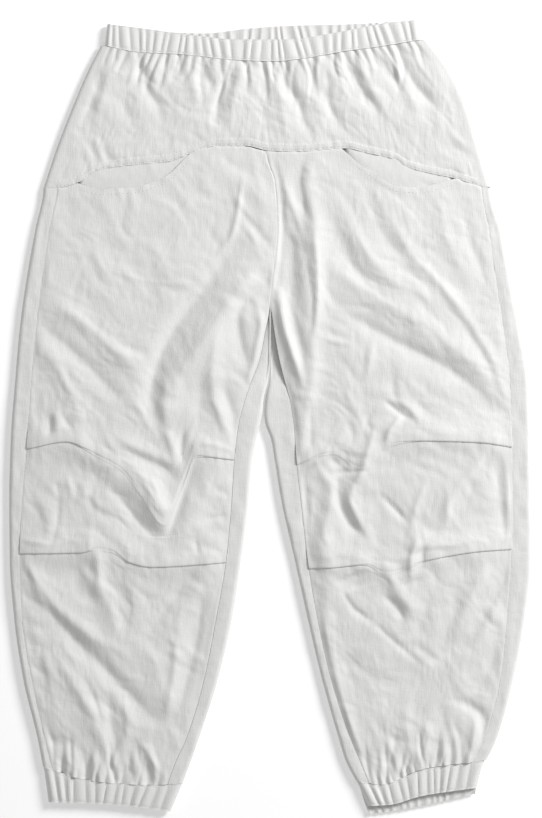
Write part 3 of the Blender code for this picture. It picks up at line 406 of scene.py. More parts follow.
def smooth_curve(places, values, at):
    """A smooth curve through the given values that never overshoots between two of them."""
    places = np.asarray(places, float)
    values = np.asarray(values, float)
    if places[0] > places[-1]:
        places = places[::-1]
        values = values[::-1]
    at = np.clip(at, places[0], places[-1])
    steps = np.diff(places)
    rises = np.diff(values) / steps
    slopes = np.zeros(len(places))
    slopes[0] = rises[0]
    slopes[-1] = rises[-1]
    for i in range(1, len(places) - 1):
        if rises[i - 1] * rises[i] > 0.0:
            before = 2.0 * steps[i] + steps[i - 1]
            after = steps[i] + 2.0 * steps[i - 1]
            slopes[i] = (before + after) / (before / rises[i - 1] + after / rises[i])
    i = np.clip(np.searchsorted(places, at, side="right") - 1, 0, len(places) - 2)
    t = (at - places[i]) / steps[i]
    start = (1.0 + 2.0 * t) * (1.0 - t) ** 2 * values[i] + t * (1.0 - t) ** 2 * steps[i] * slopes[i]
    end = t * t * (3.0 - 2.0 * t) * values[i + 1] + t * t * (t - 1.0) * steps[i] * slopes[i + 1]
    return start + end


def read(table, at, column=1):
    """The value of a table's column at a place along its first column."""
    return smooth_curve([row[0] for row in table], [row[column] for row in table], at)


def soft_step(value, low, high):
    """0 below low, 1 above high, and smooth between them."""
    t = np.clip((np.asarray(value, float) - low) / (high - low), 0.0, 1.0)
    return t * t * (3.0 - 2.0 * t)


def quarter_round(distance):
    """Height of a flattened side, from 0 at its outline to 1 where it becomes level."""
    return np.sqrt(1.0 - (1.0 - np.clip(distance / FOLD_REACH, 0.0, 1.0)) ** 2)


def soft_floor(value, low, blend=0.8):
    """The value, kept softly above low."""
    return 0.5 * (value + low + np.sqrt((value - low) ** 2 + blend ** 2))


def crinkle(x, y, wide, long, seed):
    """Smooth random relief from -1 to 1 with bumps of the given width and length."""
    cells = 64
    heights = np.random.default_rng(seed).uniform(-1.0, 1.0, (cells, cells))
    u = np.asarray(x, float) / wide
    v = np.asarray(y, float) / long
    i = np.floor(u).astype(int)
    j = np.floor(v).astype(int)
    s = u - i
    t = v - j
    s = s * s * (3.0 - 2.0 * s)
    t = t * t * (3.0 - 2.0 * t)
    i_0, i_1, j_0, j_1 = i % cells, (i + 1) % cells, j % cells, (j + 1) % cells
    low = heights[i_0, j_0] * (1.0 - s) + heights[i_1, j_0] * s
    high = heights[i_0, j_1] * (1.0 - s) + heights[i_1, j_1] * s
    return low * (1.0 - t) + high * t


def smooth_path(points, parts=6):
    """A smooth path through points in millimetres, as short straight steps."""
    points = np.array(points, float)
    if len(points) == 2:
        return points
    ends = np.vstack([2.0 * points[0] - points[1], points, 2.0 * points[-1] - points[-2]])
    path = []
    for k in range(1, len(ends) - 2):
        a, b, c, d = ends[k - 1:k + 3]
        for t in np.arange(parts) / parts:
            path.append(0.5 * (2.0 * b + (c - a) * t + (2.0 * a - 5.0 * b + 4.0 * c - d) * t * t
                               + (3.0 * b - 3.0 * c + d - a) * t ** 3))
    path.append(points[-1])
    return np.array(path)


def crease(x, y, points, lit, shaded, height):
    """One ridge or trough with its own width on each side, which fades out at both ends."""
    x = np.asarray(x)
    path = smooth_path(points)
    total = np.zeros(np.shape(x))
    reach = 3.0 * max(lit, shaded)
    near = (x > path[:, 0].min() - reach) & (x < path[:, 0].max() + reach)
    near &= (y > path[:, 1].min() - reach) & (y < path[:, 1].max() + reach)
    if not near.any():
        return total
    at_x = x[near]
    at_y = y[near]
    runs = np.diff(path, axis=0)
    lengths = np.hypot(runs[:, 0], runs[:, 1])
    begins = np.concatenate([[0.0], np.cumsum(lengths)])
    nearest = np.full(at_x.shape, 1e9)
    along = np.zeros(at_x.shape)
    side = np.zeros(at_x.shape)
    for (a_x, a_y), (run_x, run_y), length, begin in zip(path, runs, lengths, begins):
        t = np.clip(((at_x - a_x) * run_x + (at_y - a_y) * run_y) / length ** 2, 0.0, 1.0)
        off_x = at_x - a_x - t * run_x
        off_y = at_y - a_y - t * run_y
        away = np.hypot(off_x, off_y)
        closer = away < nearest
        nearest = np.where(closer, away, nearest)
        along = np.where(closer, (begin + t * length) / begins[-1], along)
        side = np.where(closer, run_x * off_y - run_y * off_x, side)
    whole = path[-1] - path[0]
    turned = np.sign(whole[0] * LIGHT[1] - whole[1] * LIGHT[0])
    width = np.where(side * turned > 0.0, lit, shaded)
    p = nearest / width
    profile = 0.45 * np.exp(-1.7 * (np.sqrt(p * p + 0.1) - 0.316)) + 0.55 * np.exp(-p * p)
    ends = soft_step(along, -0.15, 0.3) * soft_step(1.0 - along, -0.15, 0.3)
    total[near] = height * profile * ends
    return total


def relief(x, y, creases):
    """Sum of the creases whose paths are on the picture's grid."""
    total = np.zeros(np.shape(x))
    for points, lit, shaded, height in creases:
        total += crease(x, y, [place(point) for point in points], lit, shaded, CREASE_DEPTH * height)
    return total


def crumpled(x, y, wide, long, seed):
    """Random relief from 0 to 1 of puffed patches between narrow winding valleys."""
    level = crinkle(x, y, wide, long, seed)
    return np.sqrt(level * level + 0.006) - 0.077


def slight_crinkles(x, y, seed):
    """The uneven surface of washed cotton between its main creases."""
    bent_x = x + 7.0 * crinkle(x, y, 26.0, 30.0, seed + 7)
    bent_y = y + 7.0 * crinkle(x, y, 30.0, 26.0, seed + 8)
    down_right = 0.8 * bent_x - 0.6 * bent_y
    up_right = 0.6 * bent_x + 0.8 * bent_y
    down_left = 0.8 * bent_x + 0.6 * bent_y
    up_left = 0.8 * bent_y - 0.6 * bent_x
    broad = 0.5 * crinkle(bent_x, bent_y, 24.0, 34.0, seed)
    creased = 0.9 * crumpled(down_right, up_right, 30.0, 15.0, seed + 1)
    creased -= 0.7 * crumpled(down_left, up_left, 13.0, 30.0, seed + 2)
    small = 0.35 * crumpled(down_right, up_right, 11.0, 5.5, seed + 3)
    small -= 0.3 * crumpled(bent_x, bent_y, 4.5, 11.0, seed + 4)
    fine = 0.10 * crinkle(bent_x, bent_y, 1.9, 6.0, seed + 5)
    fine += 0.06 * crinkle(up_left, down_left, 2.2, 3.0, seed + 6)
    return broad + creased + small + fine


def gather_runs(edge, valleys, down, spread, lengths, depths, seed):
    """Valleys that run on from a gathered edge into the cloth, each of its own length, lean and depth."""
    random = np.random.default_rng(seed)
    runs = []
    for valley in valleys[1:-1]:
        x, y = edge_point(edge, valley)
        length = random.uniform(*lengths)
        lean = spread * x + random.uniform(-0.3, 0.3)
        bend = random.uniform(-0.12, 0.12) * length
        path = [
            (x, y - 3.0 * down), (x + 0.5 * lean * length + bend, y + 0.5 * length * down),
            (x + lean * length, y + length * down)]
        width = random.uniform(1.5, 2.6)
        runs.append((path, width, width * 1.3, -random.uniform(*depths)))
        side = random.choice([-1.0, 1.0]) * 1.6 * width
        beside = [(a + side, b) for a, b in path]
        runs.append((beside, width * 1.6, width, 0.6 * random.uniform(*depths)))
    return runs


def run_relief(x, y, runs):
    total = np.zeros(np.shape(x))
    for path, lit, shaded, height in runs:
        total += crease(x, y, path, lit, shaded, height)
    return total


def puckers(along, away, reach, seed):
    """Short wrinkles that a line of stitches draws up on each side of a seam."""
    waves = crinkle(along, away, 2.6, 9.0, seed) + 0.6 * crinkle(along, away, 6.0, 14.0, seed + 1)
    return 0.34 * waves * np.exp(-away / reach)


def side_lines(leg, y):
    """Middle-surface x of a leg's outer fold and x of its side seam."""
    return read(leg["side"], y, 1) - leg["outward"] * CLOTH / 2.0, read(leg["side"], y, 2)


def inside_lines(leg, y):
    """x of a leg's inseam, or centre seam, and middle-surface x of its inner fold."""
    return read(leg["inside"], y, 1), read(leg["inside"], y, 2) + leg["outward"] * CLOTH / 2.0


def top_height(leg, x, y):
    """Middle-surface z of the layer on top, rounded down to the folds at a leg's two sides."""
    outer = quarter_round(np.abs(side_lines(leg, y)[0] - x))
    inner = quarter_round(np.abs(inside_lines(leg, y)[1] - x))
    rounded = 1.0 - (1.0 - inner) * soft_step(-np.asarray(y, float), -LIP_TOP + 8.0, -LIP_FULL + 8.0)
    level = read(FRONT_HEIGHT, y)
    middle = (level + CLOTH / 2.0) / 2.0
    return middle + (level - middle) * outer * rounded


def front_x(leg, across, y):
    """x of a place from 0, at the side seam, to 1, at the inseam or centre seam."""
    side = side_lines(leg, y)[1] - leg["outward"] * SEAM_GAP / 2.0
    inseam = inside_lines(leg, y)[0]
    return side + (inseam - side) * across


def front_height(leg, x, y, across):
    """Middle-surface z of a front, with its crown, its main creases and its slight crinkles."""
    across = np.clip(across, 0.0, 1.0)
    width = np.abs(front_x(leg, 1.0, y) - front_x(leg, 0.0, y))
    from_seam = np.minimum(across, 1.0 - across) * width
    inside = np.sin(np.pi * across)
    free = soft_step(from_seam, 0.0, 5.0) * soft_step(read(YOKE_SEAM, x) - y, 0.0, 12.0)
    moved = relief(x, y, leg["creases"]) + slight_crinkles(x, y, 11) + run_relief(x, y, leg["cuff_runs"])
    pulled = 0.45 * puckers(y, from_seam, 5.0, 17) - 0.12 * np.exp(-(from_seam / 0.8) ** 2)
    lowest = np.where(np.asarray(y) > OVER_BAG, FRONT_OVER_BAG, LOWEST_FRONT)
    lowest = lowest + MOUTH_RISE * soft_step(y, 165.0, 176.0)
    z = top_height(leg, x, y) + read(CROWN, y) * inside + moved * free + pulled
    return np.where(free > 0.02, soft_floor(z, lowest), z)


def line_on_front(leg, table, across, column=1):
    """A table's value where each column of a front crosses the line that the table gives."""
    y = np.full(np.shape(across), float(np.mean([row[1] for row in table])))
    for _ in range(8):
        x = front_x(leg, across, y)
        y = 0.5 * y + 0.5 * read(table, x)
    return read(table, x, column)


def front_top_y(leg, across):
    """Top edge of a front: the yoke seam, and the free edge of the pocket where it dips below."""
    x = front_x(leg, across, HIP_LINE)
    seam = read(YOKE_SEAM, x) - SEAM_GAP / 2.0
    mouth = leg["mouth"]
    in_mouth = (x > mouth[0][0]) & (x < mouth[-1][0])
    return np.where(in_mouth, np.minimum(read(mouth, x), seam), seam)


def tuck_stack(depth):
    """Offsets along the leg and heights in layers of a tuck's rows, for each column's depth."""
    under = TUCK_UNDER * np.clip((depth - TUCK_STANDING) / (1.0 - TUCK_STANDING), 0.0, 1.0)
    standing = np.clip(depth / TUCK_STANDING, 0.0, 1.0)
    apart = 0.18 * np.clip(1.0 - under / (2.0 * TUCK_BEND + 1.0), 0.0, 1.0)
    rows = []
    edge_offset = 3.0 + (TUCK_BEND - 3.0) * standing
    for share in np.linspace(0.0, 1.0, 16):
        offset = TUCK_ABOVE + (edge_offset - TUCK_ABOVE) * share
        rows.append((offset, (0.25 + 1.75 * soft_step(share, 0.0, 0.85)) * standing))
    folded = []
    for angle in np.linspace(0.25, 0.85, 4) * np.pi:
        folded.append((TUCK_BEND * (1.0 - np.sin(angle)), 1.5 + 0.5 * np.cos(angle)))
    turn_start = np.minimum(TUCK_BEND, under / 2.0)
    turn_end = np.maximum(under - TUCK_BEND, under / 2.0)
    for share in np.linspace(0.0, 1.0, 4):
        folded.append((turn_start + (turn_end - turn_start) * share, 1.0 + apart * (1.0 - 2.0 * share)))
    for angle in np.linspace(0.2, 1.0, 5) * np.pi:
        folded.append((under - TUCK_BEND * (1.0 - np.sin(angle)), 0.5 + 0.5 * np.cos(angle)))
    let_out = np.linspace(2.4, -3.6, len(folded))
    for (offset, layers), flat in zip(folded, let_out):
        rows.append((flat + (offset - flat) * standing, layers * standing))
    last = rows[-1][0]
    for share in np.linspace(0.0, 1.0, 9)[1:]:
        rows.append((last + (TUCK_BELOW - last) * share, 0.0 * standing))
    return rows


def gather_pattern(valleys, place_along, seed):
    """Puffed ridges between sharp valleys at the given places, each of its own height from 0 to 1."""
    random = np.random.default_rng(seed)
    heights = random.uniform(0.55, 1.0, len(valleys) - 1)
    leans = random.uniform(0.7, 1.3, len(valleys) - 1)
    valleys = np.asarray(valleys, float)
    i = np.clip(np.searchsorted(valleys, place_along, side="right") - 1, 0, len(valleys) - 2)
    t = np.clip((place_along - valleys[i]) / (valleys[i + 1] - valleys[i]), 0.0, 1.0)
    shapes = random.uniform(0.8, 1.9, len(valleys) - 1)
    return heights[i] * np.sin(np.pi * t ** leans[i]) ** shapes[i]


def waist_valleys(seed):
    """Places of the waist's valleys, unevenly spaced."""
    widths = np.random.default_rng(seed).uniform(0.55, 1.45, WAIST_GATHERS)
    return np.concatenate([[0.0], np.cumsum(widths) / widths.sum()])


def cloth_mesh(name, points, wall, ring=False, lowest=0.0):
    """A closed thin shell round a grid of middle-surface points, rows by columns by x, y and z."""
    rows, columns = points.shape[:2]
    if ring:
        along = np.roll(points, -1, axis=1) - np.roll(points, 1, axis=1)
    else:
        along = np.gradient(points, axis=1)
    down = np.gradient(points, axis=0)
    normals = np.cross(along, down)
    normals /= np.maximum(np.linalg.norm(normals, axis=2, keepdims=True), 1e-9)
    vertices = np.concatenate([points + normals * wall / 2.0, points - normals * wall / 2.0])
    vertices = vertices.reshape(-1, 3)
    vertices[:, 2] = np.maximum(vertices[:, 2], lowest)
    count = rows * columns
    index = np.arange(count).reshape(rows, columns)
    if ring:
        index = np.concatenate([index, index[:, :1]], axis=1)
    a, b, c, d = index[:-1, :-1], index[:-1, 1:], index[1:, 1:], index[1:, :-1]
    quads = np.stack([a, b, c, d], axis=-1).reshape(-1, 4)
    edges = [index[0], index[-1][::-1]]
    if not ring:
        edges += [index[:, -1], index[::-1, 0]]
    rims = [np.stack([e[1:], e[:-1], e[:-1] + count, e[1:] + count], axis=-1) for e in edges]
    faces = np.concatenate([quads, quads[:, ::-1] + count] + rims)
    mesh = bpy.data.meshes.new(name)
    mesh.vertices.add(len(vertices))
    mesh.vertices.foreach_set("co", (vertices * MM).ravel())
    mesh.loops.add(faces.size)
    mesh.loops.foreach_set("vertex_index", faces.ravel().astype(np.int32))
    mesh.polygons.add(len(faces))
    mesh.polygons.foreach_set("loop_start", np.arange(0, faces.size, 4, dtype=np.int32))
    mesh.update(calc_edges=True)
    mesh.validate()
    mesh.shade_smooth()
    mesh.set_sharp_from_angle(angle=np.radians(60.0))
    piece = bpy.data.objects.new(name, mesh)
    bpy.context.scene.collection.objects.link(piece)
    return piece


def front_grid(leg):
    """Points of a front, from the yoke seam past two lines of tucks to the cuff."""
    edge_shares = np.array([0.0, 0.0025, 0.0055, 0.009, 0.0135])
    across = np.concatenate([edge_shares, np.linspace(0.02, 0.98, FRONT_COLUMNS), 1.0 - edge_shares[::-1]])
    top = front_top_y(leg, across)
    tucks = []
    for name in ("upper_tuck", "lower_tuck"):
        edge = line_on_front(leg, leg[name], across)
        depth = line_on_front(leg, leg[name], across, 2)
        tucks.append((edge, depth))
    cuff = read(leg["cuff_front_top"], front_x(leg, across, CUFF_LINE)) + CURVED_SEAM_GAP
    seam = read(YOKE_SEAM, front_x(leg, across, HIP_LINE))
    mouth_share = np.clip((seam - top) / 6.0, 0.0, 1.0)
    ys = []
    bases = []
    layers = []

    def add(y, base=None, height=0.0):
        ys.append(y)
        bases.append(y if base is None else base)
        layers.append(np.broadcast_to(height, across.shape))

    first = tucks[0][0] + TUCK_ABOVE
    plain_shares = np.concatenate([[0.0, 0.003, 0.006, 0.010, 0.015], np.linspace(0.0, 1.0, 136)[3:-1]])
    for share in plain_shares:
        y = top + (first - top) * share
        from_top = top - y
        edge_roll = MOUTH_LIFT * mouth_share * np.exp(-(from_top / 9.0) ** 2)
        x = front_x(leg, across, y)
        held = 0.6 * puckers(x, from_top, 7.0, 19) - 0.15 * np.exp(-(from_top / 1.2) ** 2)
        add(y, None, edge_roll + held * (1.0 - 0.85 * mouth_share))
    for k, (edge, depth) in enumerate(tucks):
        for offset, height in tuck_stack(depth):
            away_share = soft_step(offset, 1.0, 12.0)
            base = edge + np.where(offset > 0.0, offset * away_share, offset)
            add(edge + offset, base, height * TUCK_STEP)
        start = edge + TUCK_BELOW
        end = tucks[1][0] + TUCK_ABOVE if k == 0 else cuff
        count = 30 if k == 0 else 100
        for share in np.linspace(0.0, 1.0, count)[1:(None if k else -1)]:
            add(start + (end - start) * share)
    y = np.array(ys)
    base = np.array(bases)
    grid_across = np.broadcast_to(across, y.shape)
    x = front_x(leg, grid_across, y)
    seam_free = soft_step(np.minimum(across, 1.0 - across), 0.0, 0.09)
    z = front_height(leg, x, base, grid_across) + np.array(layers)
    for edge, depth in tucks:
        from_edge = y - edge
        reach = np.where(from_edge > 0.0, PUFF_ABOVE, PUFF_BELOW)
        standing = np.clip(depth / TUCK_STANDING, 0.0, 1.0)
        z = z + TUCK_PUFF * seam_free * (0.35 + 0.65 * standing) * np.exp(-(from_edge / reach) ** 2)
    above_cuff = y - cuff
    gathers = gather_pattern(leg["cuff_valleys"], across if leg["outward"] < 0 else 1.0 - across, 5)
    fade = np.exp(-np.maximum(above_cuff, 0.0) / 6.0)
    sides = soft_step(np.minimum(across, 1.0 - across), 0.0, 0.06)
    z = z + CUFF_RISE * fade * (gathers - 0.5) * sides
    return np.stack([x, y, z], axis=-1)


def back_section(leg, y, places):
    """One section of a back: strip, outer fold, floor, inner fold and strip, at places from 0 to 5."""
    outward = leg["outward"]
    fold_x, side = side_lines(leg, y)
    inseam, inner_x = inside_lines(leg, y)
    side_edge = side + outward * SEAM_GAP / 2.0
    inner_edge = inseam - outward * CURVED_SEAM_GAP
    level = read(FRONT_HEIGHT, y)
    middle = (level + CLOTH / 2.0) / 2.0
    floor = CLOTH / 2.0
    part = places
    strip = np.clip(part, 0.0, 1.0)
    strip_x = side_edge + (fold_x - outward * FOLD_REACH - side_edge) * strip
    turn = np.pi * np.clip(part - 1.0, 0.0, 1.0)
    turn_x = fold_x - outward * FOLD_REACH * (1.0 - np.sin(turn))
    turn_z = middle + (level - middle) * np.cos(turn)
    run = np.clip(part - 2.0, 0.0, 1.0)
    inner_start = inner_x + outward * FOLD_REACH
    run_x = (fold_x - outward * FOLD_REACH) + (inner_start - fold_x + outward * FOLD_REACH) * run
    end = np.clip((part - 3.0) / 2.0, 0.0, 1.0)
    reach = np.abs(inner_edge - inner_x)
    last_turn = np.pi - np.arcsin(np.clip(1.0 - reach / FOLD_REACH, 0.0, 1.0))
    strip_share = STRIP_WEIGHT * np.maximum(reach - FOLD_REACH, 0.0) / FOLD_REACH
    travel = (last_turn + strip_share) * end
    roll = np.minimum(travel, last_turn)
    strip_run = np.clip((travel - last_turn) / np.maximum(strip_share, 1e-6), 0.0, 1.0)
    roll_x = inner_x + outward * FOLD_REACH * (1.0 - np.sin(roll))
    roll_z = middle - (middle - floor) * np.cos(roll)
    turned_x = roll_x + (inner_edge - roll_x) * strip_run
    flat_end = outward * SEAM_GAP / 2.0
    flat_x = inner_start + (flat_end - inner_start) * end
    turned = 1.0 - soft_step(y, LIP_FULL, LIP_TOP)
    last_x = flat_x + (turned_x - flat_x) * turned
    last_z = floor + (roll_z - floor) * turned
    x = np.where(part <= 1.0, strip_x, np.where(part <= 2.0, turn_x, np.where(part <= 3.0, run_x, last_x)))
    z = np.where(part <= 1.0, level, np.where(part <= 2.0, turn_z, np.where(part <= 3.0, floor, last_z)))
    return x, z


def back_grid(leg):
    """Points of a back, from the yoke seam to the cuff, wrapped round both sides onto the front."""
    places = np.concatenate([
        np.linspace(0.0, 1.0, 9)[:-1], np.linspace(1.0, 2.0, 9)[:-1],
        np.linspace(2.0, 3.0, BACK_COLUMNS)[:-1], np.linspace(3.0, 5.0, 25)])
    x_top, _ = back_section(leg, HIP_CORNER, places)
    top = np.where(places <= 1.0, read(YOKE_SEAM, x_top), read(BACK_YOKE_SEAM, x_top)) - SEAM_GAP / 2.0
    bottom = np.full(len(places), CUFF_LINE)
    share_back = np.clip(np.where(places < 2.5, places - 1.0, 4.0 - places), 0.0, 1.0)
    for _ in range(6):
        x, _ = back_section(leg, bottom, places)
        front = read(leg["cuff_front_top"], x) + CURVED_SEAM_GAP
        back = read(leg["cuff_back_top"], x) + CURVED_SEAM_GAP
        bottom = front + (back - front) * share_back
    down = np.linspace(0.0, 1.0, BACK_ROWS)[:, None]
    lip = 0.5 * (LIP_TOP + LIP_FULL)
    upper = np.clip(down / 0.19, 0.0, 1.0)
    lower = np.clip((down - 0.19) / 0.81, 0.0, 1.0)
    y = np.where(down < 0.19, top + (lip - top) * upper, lip + (bottom - lip) * lower)
    grid = np.broadcast_to(places, y.shape)
    x, z = back_section(leg, y, grid)
    on_floor = soft_step(grid, 2.0, 2.12) * (1.0 - soft_step(grid, 2.9, 3.0))
    raised = np.maximum(relief(x, y, BACK_CREASES), 0.0) + 0.25 * (1.0 + crinkle(x, y, 9.0, 14.0, 21)) * 0.5
    z = z + on_floor * raised
    above_cuff = y - bottom
    gathers = 1.0 - gather_pattern(leg["cuff_valleys"], np.clip(grid - 2.0, 0.0, 1.0), 6)
    fade = np.exp(-np.maximum(above_cuff, 0.0) / 10.0)
    z = z + on_floor * CUFF_RISE * 0.8 * fade * gathers
    outer_edge = np.abs(x - (side_lines(leg, y)[1] + leg["outward"] * SEAM_GAP / 2.0))
    inner_edge = np.abs(x - inside_lines(leg, y)[0])
    on_outer = 1.0 - soft_step(grid, 1.0, 1.4)
    on_inner = soft_step(grid, 4.0, 4.6) * (1.0 - soft_step(y, LIP_FULL - 20.0, LIP_TOP))
    waved = 0.5 * crinkle(x, y, 9.0, 15.0, 32) + 0.3 * crumpled(x, y, 6.0, 5.0, 33)
    for on_strip, from_seam in ((on_outer, outer_edge), (on_inner, inner_edge)):
        sewn = 0.45 * puckers(y, from_seam, 5.0, 34) - 0.12 * np.exp(-(from_seam / 0.8) ** 2)
        z = z + on_strip * (waved * soft_step(from_seam, 0.0, 5.0) + sewn)
    hollow = np.exp(-((y - HOLLOW_MIDDLE) / HOLLOW_REACH) ** 4)
    z = z - hollow * soft_step(grid, 3.6, 4.4) * np.maximum(z - CLOTH, 0.0) * 0.8
    return np.stack([x, y, np.maximum(z, SHOWN_CLOTH / 2.0)], axis=-1)


def yoke_grid(face):
    """Points of a yoke, gathered at the waist casing and plain at the seam with the legs."""
    front = face == "front"
    waist = WAIST_FRONT_BOTTOM if front else WAIST_BACK_BOTTOM
    seam = YOKE_SEAM if front else BACK_YOKE_SEAM
    fold = np.linspace(0.0, 1.0, 5)[:-1]
    places = np.concatenate([fold, 1.0 + np.linspace(0.0, 1.0, YOKE_COLUMNS), 3.0 - fold[::-1]])
    across = np.clip(places - 1.0, 0.0, 1.0)
    from_outline = np.clip(np.minimum(places, 3.0 - places), 0.0, 1.0) * np.pi / 2.0
    in_from_outline = FOLD_REACH * (1.0 - np.cos(from_outline))
    top_x = waist[0][0] + (waist[-1][0] - waist[0][0]) * across
    top_y = read(waist, top_x) - CURVED_SEAM_GAP
    left_x, right_x = YOKE_SEAM[0][0] + 3.8, YOKE_SEAM[-1][0] - 3.8
    seam_y = read(seam, left_x + (right_x - left_x) * across) + SEAM_GAP / 2.0
    down = np.concatenate([np.linspace(0.0, 0.92, YOKE_ROWS), np.linspace(0.92, 1.0, 15)[1:]])[:, None]
    y = top_y + (seam_y - top_y) * down
    right, left = hip_lines(y[:, :1] - SEAM_GAP, y[:, -1:] - SEAM_GAP)
    x = right + FOLD_REACH + (left - right - 2.0 * FOLD_REACH) * across
    x = np.where(places < 1.0, right + in_from_outline, x)
    x = np.where(places > 2.0, left - in_from_outline, x)
    level = read(FRONT_HEIGHT, y)
    middle = (level + CLOTH / 2.0) / 2.0
    rounded = np.sin(from_outline)
    inside = soft_step(np.minimum(across, 1.0 - across), 0.0, 0.03)
    below_waist = top_y - y
    valleys = waist_valleys(3)
    gathers = gather_pattern(valleys, across, 4)
    fade = np.exp(-below_waist / 6.0)
    raised = WAIST_RISE * 0.8 * gathers * fade * inside
    to_seam = y - seam_y
    seam_band = 0.35 * soft_step(-to_seam, -6.4, -5.2) - 0.3 * np.exp(-(to_seam / 1.0) ** 2)
    for line in YOKE_STITCHES:
        seam_band = seam_band - 0.15 * np.exp(-((to_seam - line) / 0.6) ** 2)
    if front:
        moved = relief(x, y, YOKE_CREASES) + slight_crinkles(x, y, 41) + run_relief(x, y, WAIST_RUNS)
        held = soft_step(to_seam, 0.0, 9.0) * inside
        seam_band = seam_band + puckers(x, to_seam, 7.0, 43)
        z = middle + (level - middle) * rounded + raised + moved * held + seam_band * inside
        z = np.where(inside > 0.02, soft_floor(z, LOWEST_FRONT), z)
    else:
        z = middle - (middle - CLOTH / 2.0) * rounded
        z = z + WAIST_RISE * 0.8 * (1.0 - gathers) * fade * inside
        raised_back = np.maximum(relief(x, y, BACK_CREASES), 0.0)
        z = z + (raised_back + 0.2 + 0.2 * crinkle(x, y, 9.0, 14.0, 22)) * inside
    apart = SEAM_GAP / 2.0 if front else -SEAM_GAP / 2.0
    z = z + apart * (rounded == 0.0)
    return np.stack([x, y, z], axis=-1)


def hip_lines(y_right, y_left):
    """Middle-surface x of the two folds of the yoke."""
    return read(HIP_RIGHT, y_right) + CLOTH / 2.0, read(HIP_LEFT, y_left) - CLOTH / 2.0


def edge_point(line, place_along):
    """Point of a casing's edge at a place from 0 to 1 between its two ends."""
    x = line[0][0] + (line[-1][0] - line[0][0]) * place_along
    return x, read(line, x)


def casing_grid(edges, valleys, rise, level, columns, rows, seed):
    """Points of an elastic casing, a flattened ring with gathers on its front and its back."""
    half = np.linspace(0.0, 1.0, columns)
    loop = np.concatenate([half, half[-2:0:-1]])
    on_front = np.arange(len(loop)) < columns
    floor = CASING / 2.0
    middle = (level + floor) / 2.0
    grid = []
    for share in np.linspace(0.0, 1.0, rows):
        ends = []
        for edge in ("bottom", "top"):
            front_x_row, front_y_row = edge_point(edges["front_" + edge], loop)
            back_x_row, back_y_row = edge_point(edges["back_" + edge], loop)
            x = np.where(on_front, front_x_row, back_x_row)
            y = np.where(on_front, front_y_row, back_y_row)
            low, high = np.min(x) + CASING / 2.0, np.max(x) - CASING / 2.0
            x = low + (high - low) * (x - np.min(x)) / (np.max(x) - np.min(x))
            ends.append((x, y, low, high))
        x = ends[0][0] + (ends[1][0] - ends[0][0]) * share
        y = ends[0][1] + (ends[1][1] - ends[0][1]) * share
        low = ends[0][2] + (ends[1][2] - ends[0][2]) * share
        high = ends[0][3] + (ends[1][3] - ends[0][3]) * share
        rounded = quarter_round(np.minimum(x - low, high - x))
        puffed = 0.72 + 0.28 * np.sin(np.pi * np.clip(share * 1.05, 0.0, 1.0))
        pinched = 1.0 - 0.35 * np.exp(-((share - 0.06) / 0.05) ** 2)
        pinched -= 0.25 * np.exp(-((share - 0.95) / 0.04) ** 2)
        lean = 0.012 * np.sin(loop * 23.0) * (share - 0.5)
        gathers = gather_pattern(valleys, np.clip(loop + lean, 0.0, 1.0), seed)
        gathered = rise * gathers * rounded * puffed * pinched
        on_top = middle + (level - middle) * rounded + gathered
        below = middle - (middle - floor) * rounded + rise * rounded - gathered
        z = np.where(on_front, on_top, below)
        grid.append(np.stack([x, y, z], axis=-1))
    return np.array(grid)


def bag_grid(leg):
    """Points of the pocket's back layer, from the yoke seam down behind the front."""
    mouth = leg["mouth"]
    low, high = mouth[0][0] - BAG_MARGIN, mouth[-1][0] + BAG_MARGIN
    places = np.linspace(0.0, 1.0, 70)
    x = low + (high - low) * places
    seam = read(YOKE_SEAM, x) - SEAM_GAP / 2.0
    edge = np.minimum(read(mouth, x), seam)
    drop = seam - edge
    top_z = BAG_REST + (FRONT_REST - 0.2 - BAG_REST) * np.clip(drop / 3.0, 0.0, 1.0)
    edge_z = np.minimum(top_z, BAG_REST + BAG_IN_MOUTH)
    rows = []
    for share in np.linspace(0.0, 1.0, 12)[:-1]:
        bulge = 0.5 * np.sin(np.pi * share) * np.clip(drop / 12.0, 0.0, 1.0)
        y = seam - 1.15 * drop * share
        uneven = 0.4 * slight_crinkles(x, y, 51) * np.clip(drop / 9.0, 0.0, 1.0)
        z = top_z + (edge_z - top_z) * share + bulge + uneven
        rows.append(np.stack([x, y, z], axis=1))
    for share in np.linspace(0.0, 1.0, 20):
        corner = 6.0 * share * (2.0 * places - 1.0) ** 4
        start = edge - 0.15 * drop
        y = start + (BAG_BOTTOM + corner - start) * share
        sunk = soft_step(share, 0.0, 0.3)
        rows.append(np.stack([x, y, edge_z + (BAG_REST - edge_z) * sunk], axis=1))
    return np.array(rows)


def line_beside(points, edge, distance, lift):
    """Line on a grid at a distance in from one of its edges, lifted off the middle surface."""
    grid = points
    if edge == "bottom":
        grid = points[::-1]
    grid = grid[:60]
    steps = np.linalg.norm(np.diff(grid, axis=0), axis=2)
    runs = np.concatenate([np.zeros((1, grid.shape[1])), np.cumsum(steps, axis=0)])
    line = np.array([
        [np.interp(distance, runs[:, k], grid[:, k, axis]) for axis in range(3)]
        for k in range(grid.shape[1])])
    line[:, 2] += lift
    return line


def stitch_line(line, stitches, length=2.3, gap=0.9, half_width=0.22, half_height=0.1):
    """Adds one small pointed stitch after another along a line to the list of stitches."""
    steps = np.linalg.norm(np.diff(line, axis=0), axis=1)
    runs = np.concatenate([[0.0], np.cumsum(steps)])
    starts = np.arange(1.0, runs[-1] - length - 1.0, length + gap)
    for start in starts:
        begin = np.array([np.interp(start, runs, line[:, axis]) for axis in range(3)])
        end = np.array([np.interp(start + length, runs, line[:, axis]) for axis in range(3)])
        stitches.append((begin, end, half_width, half_height))


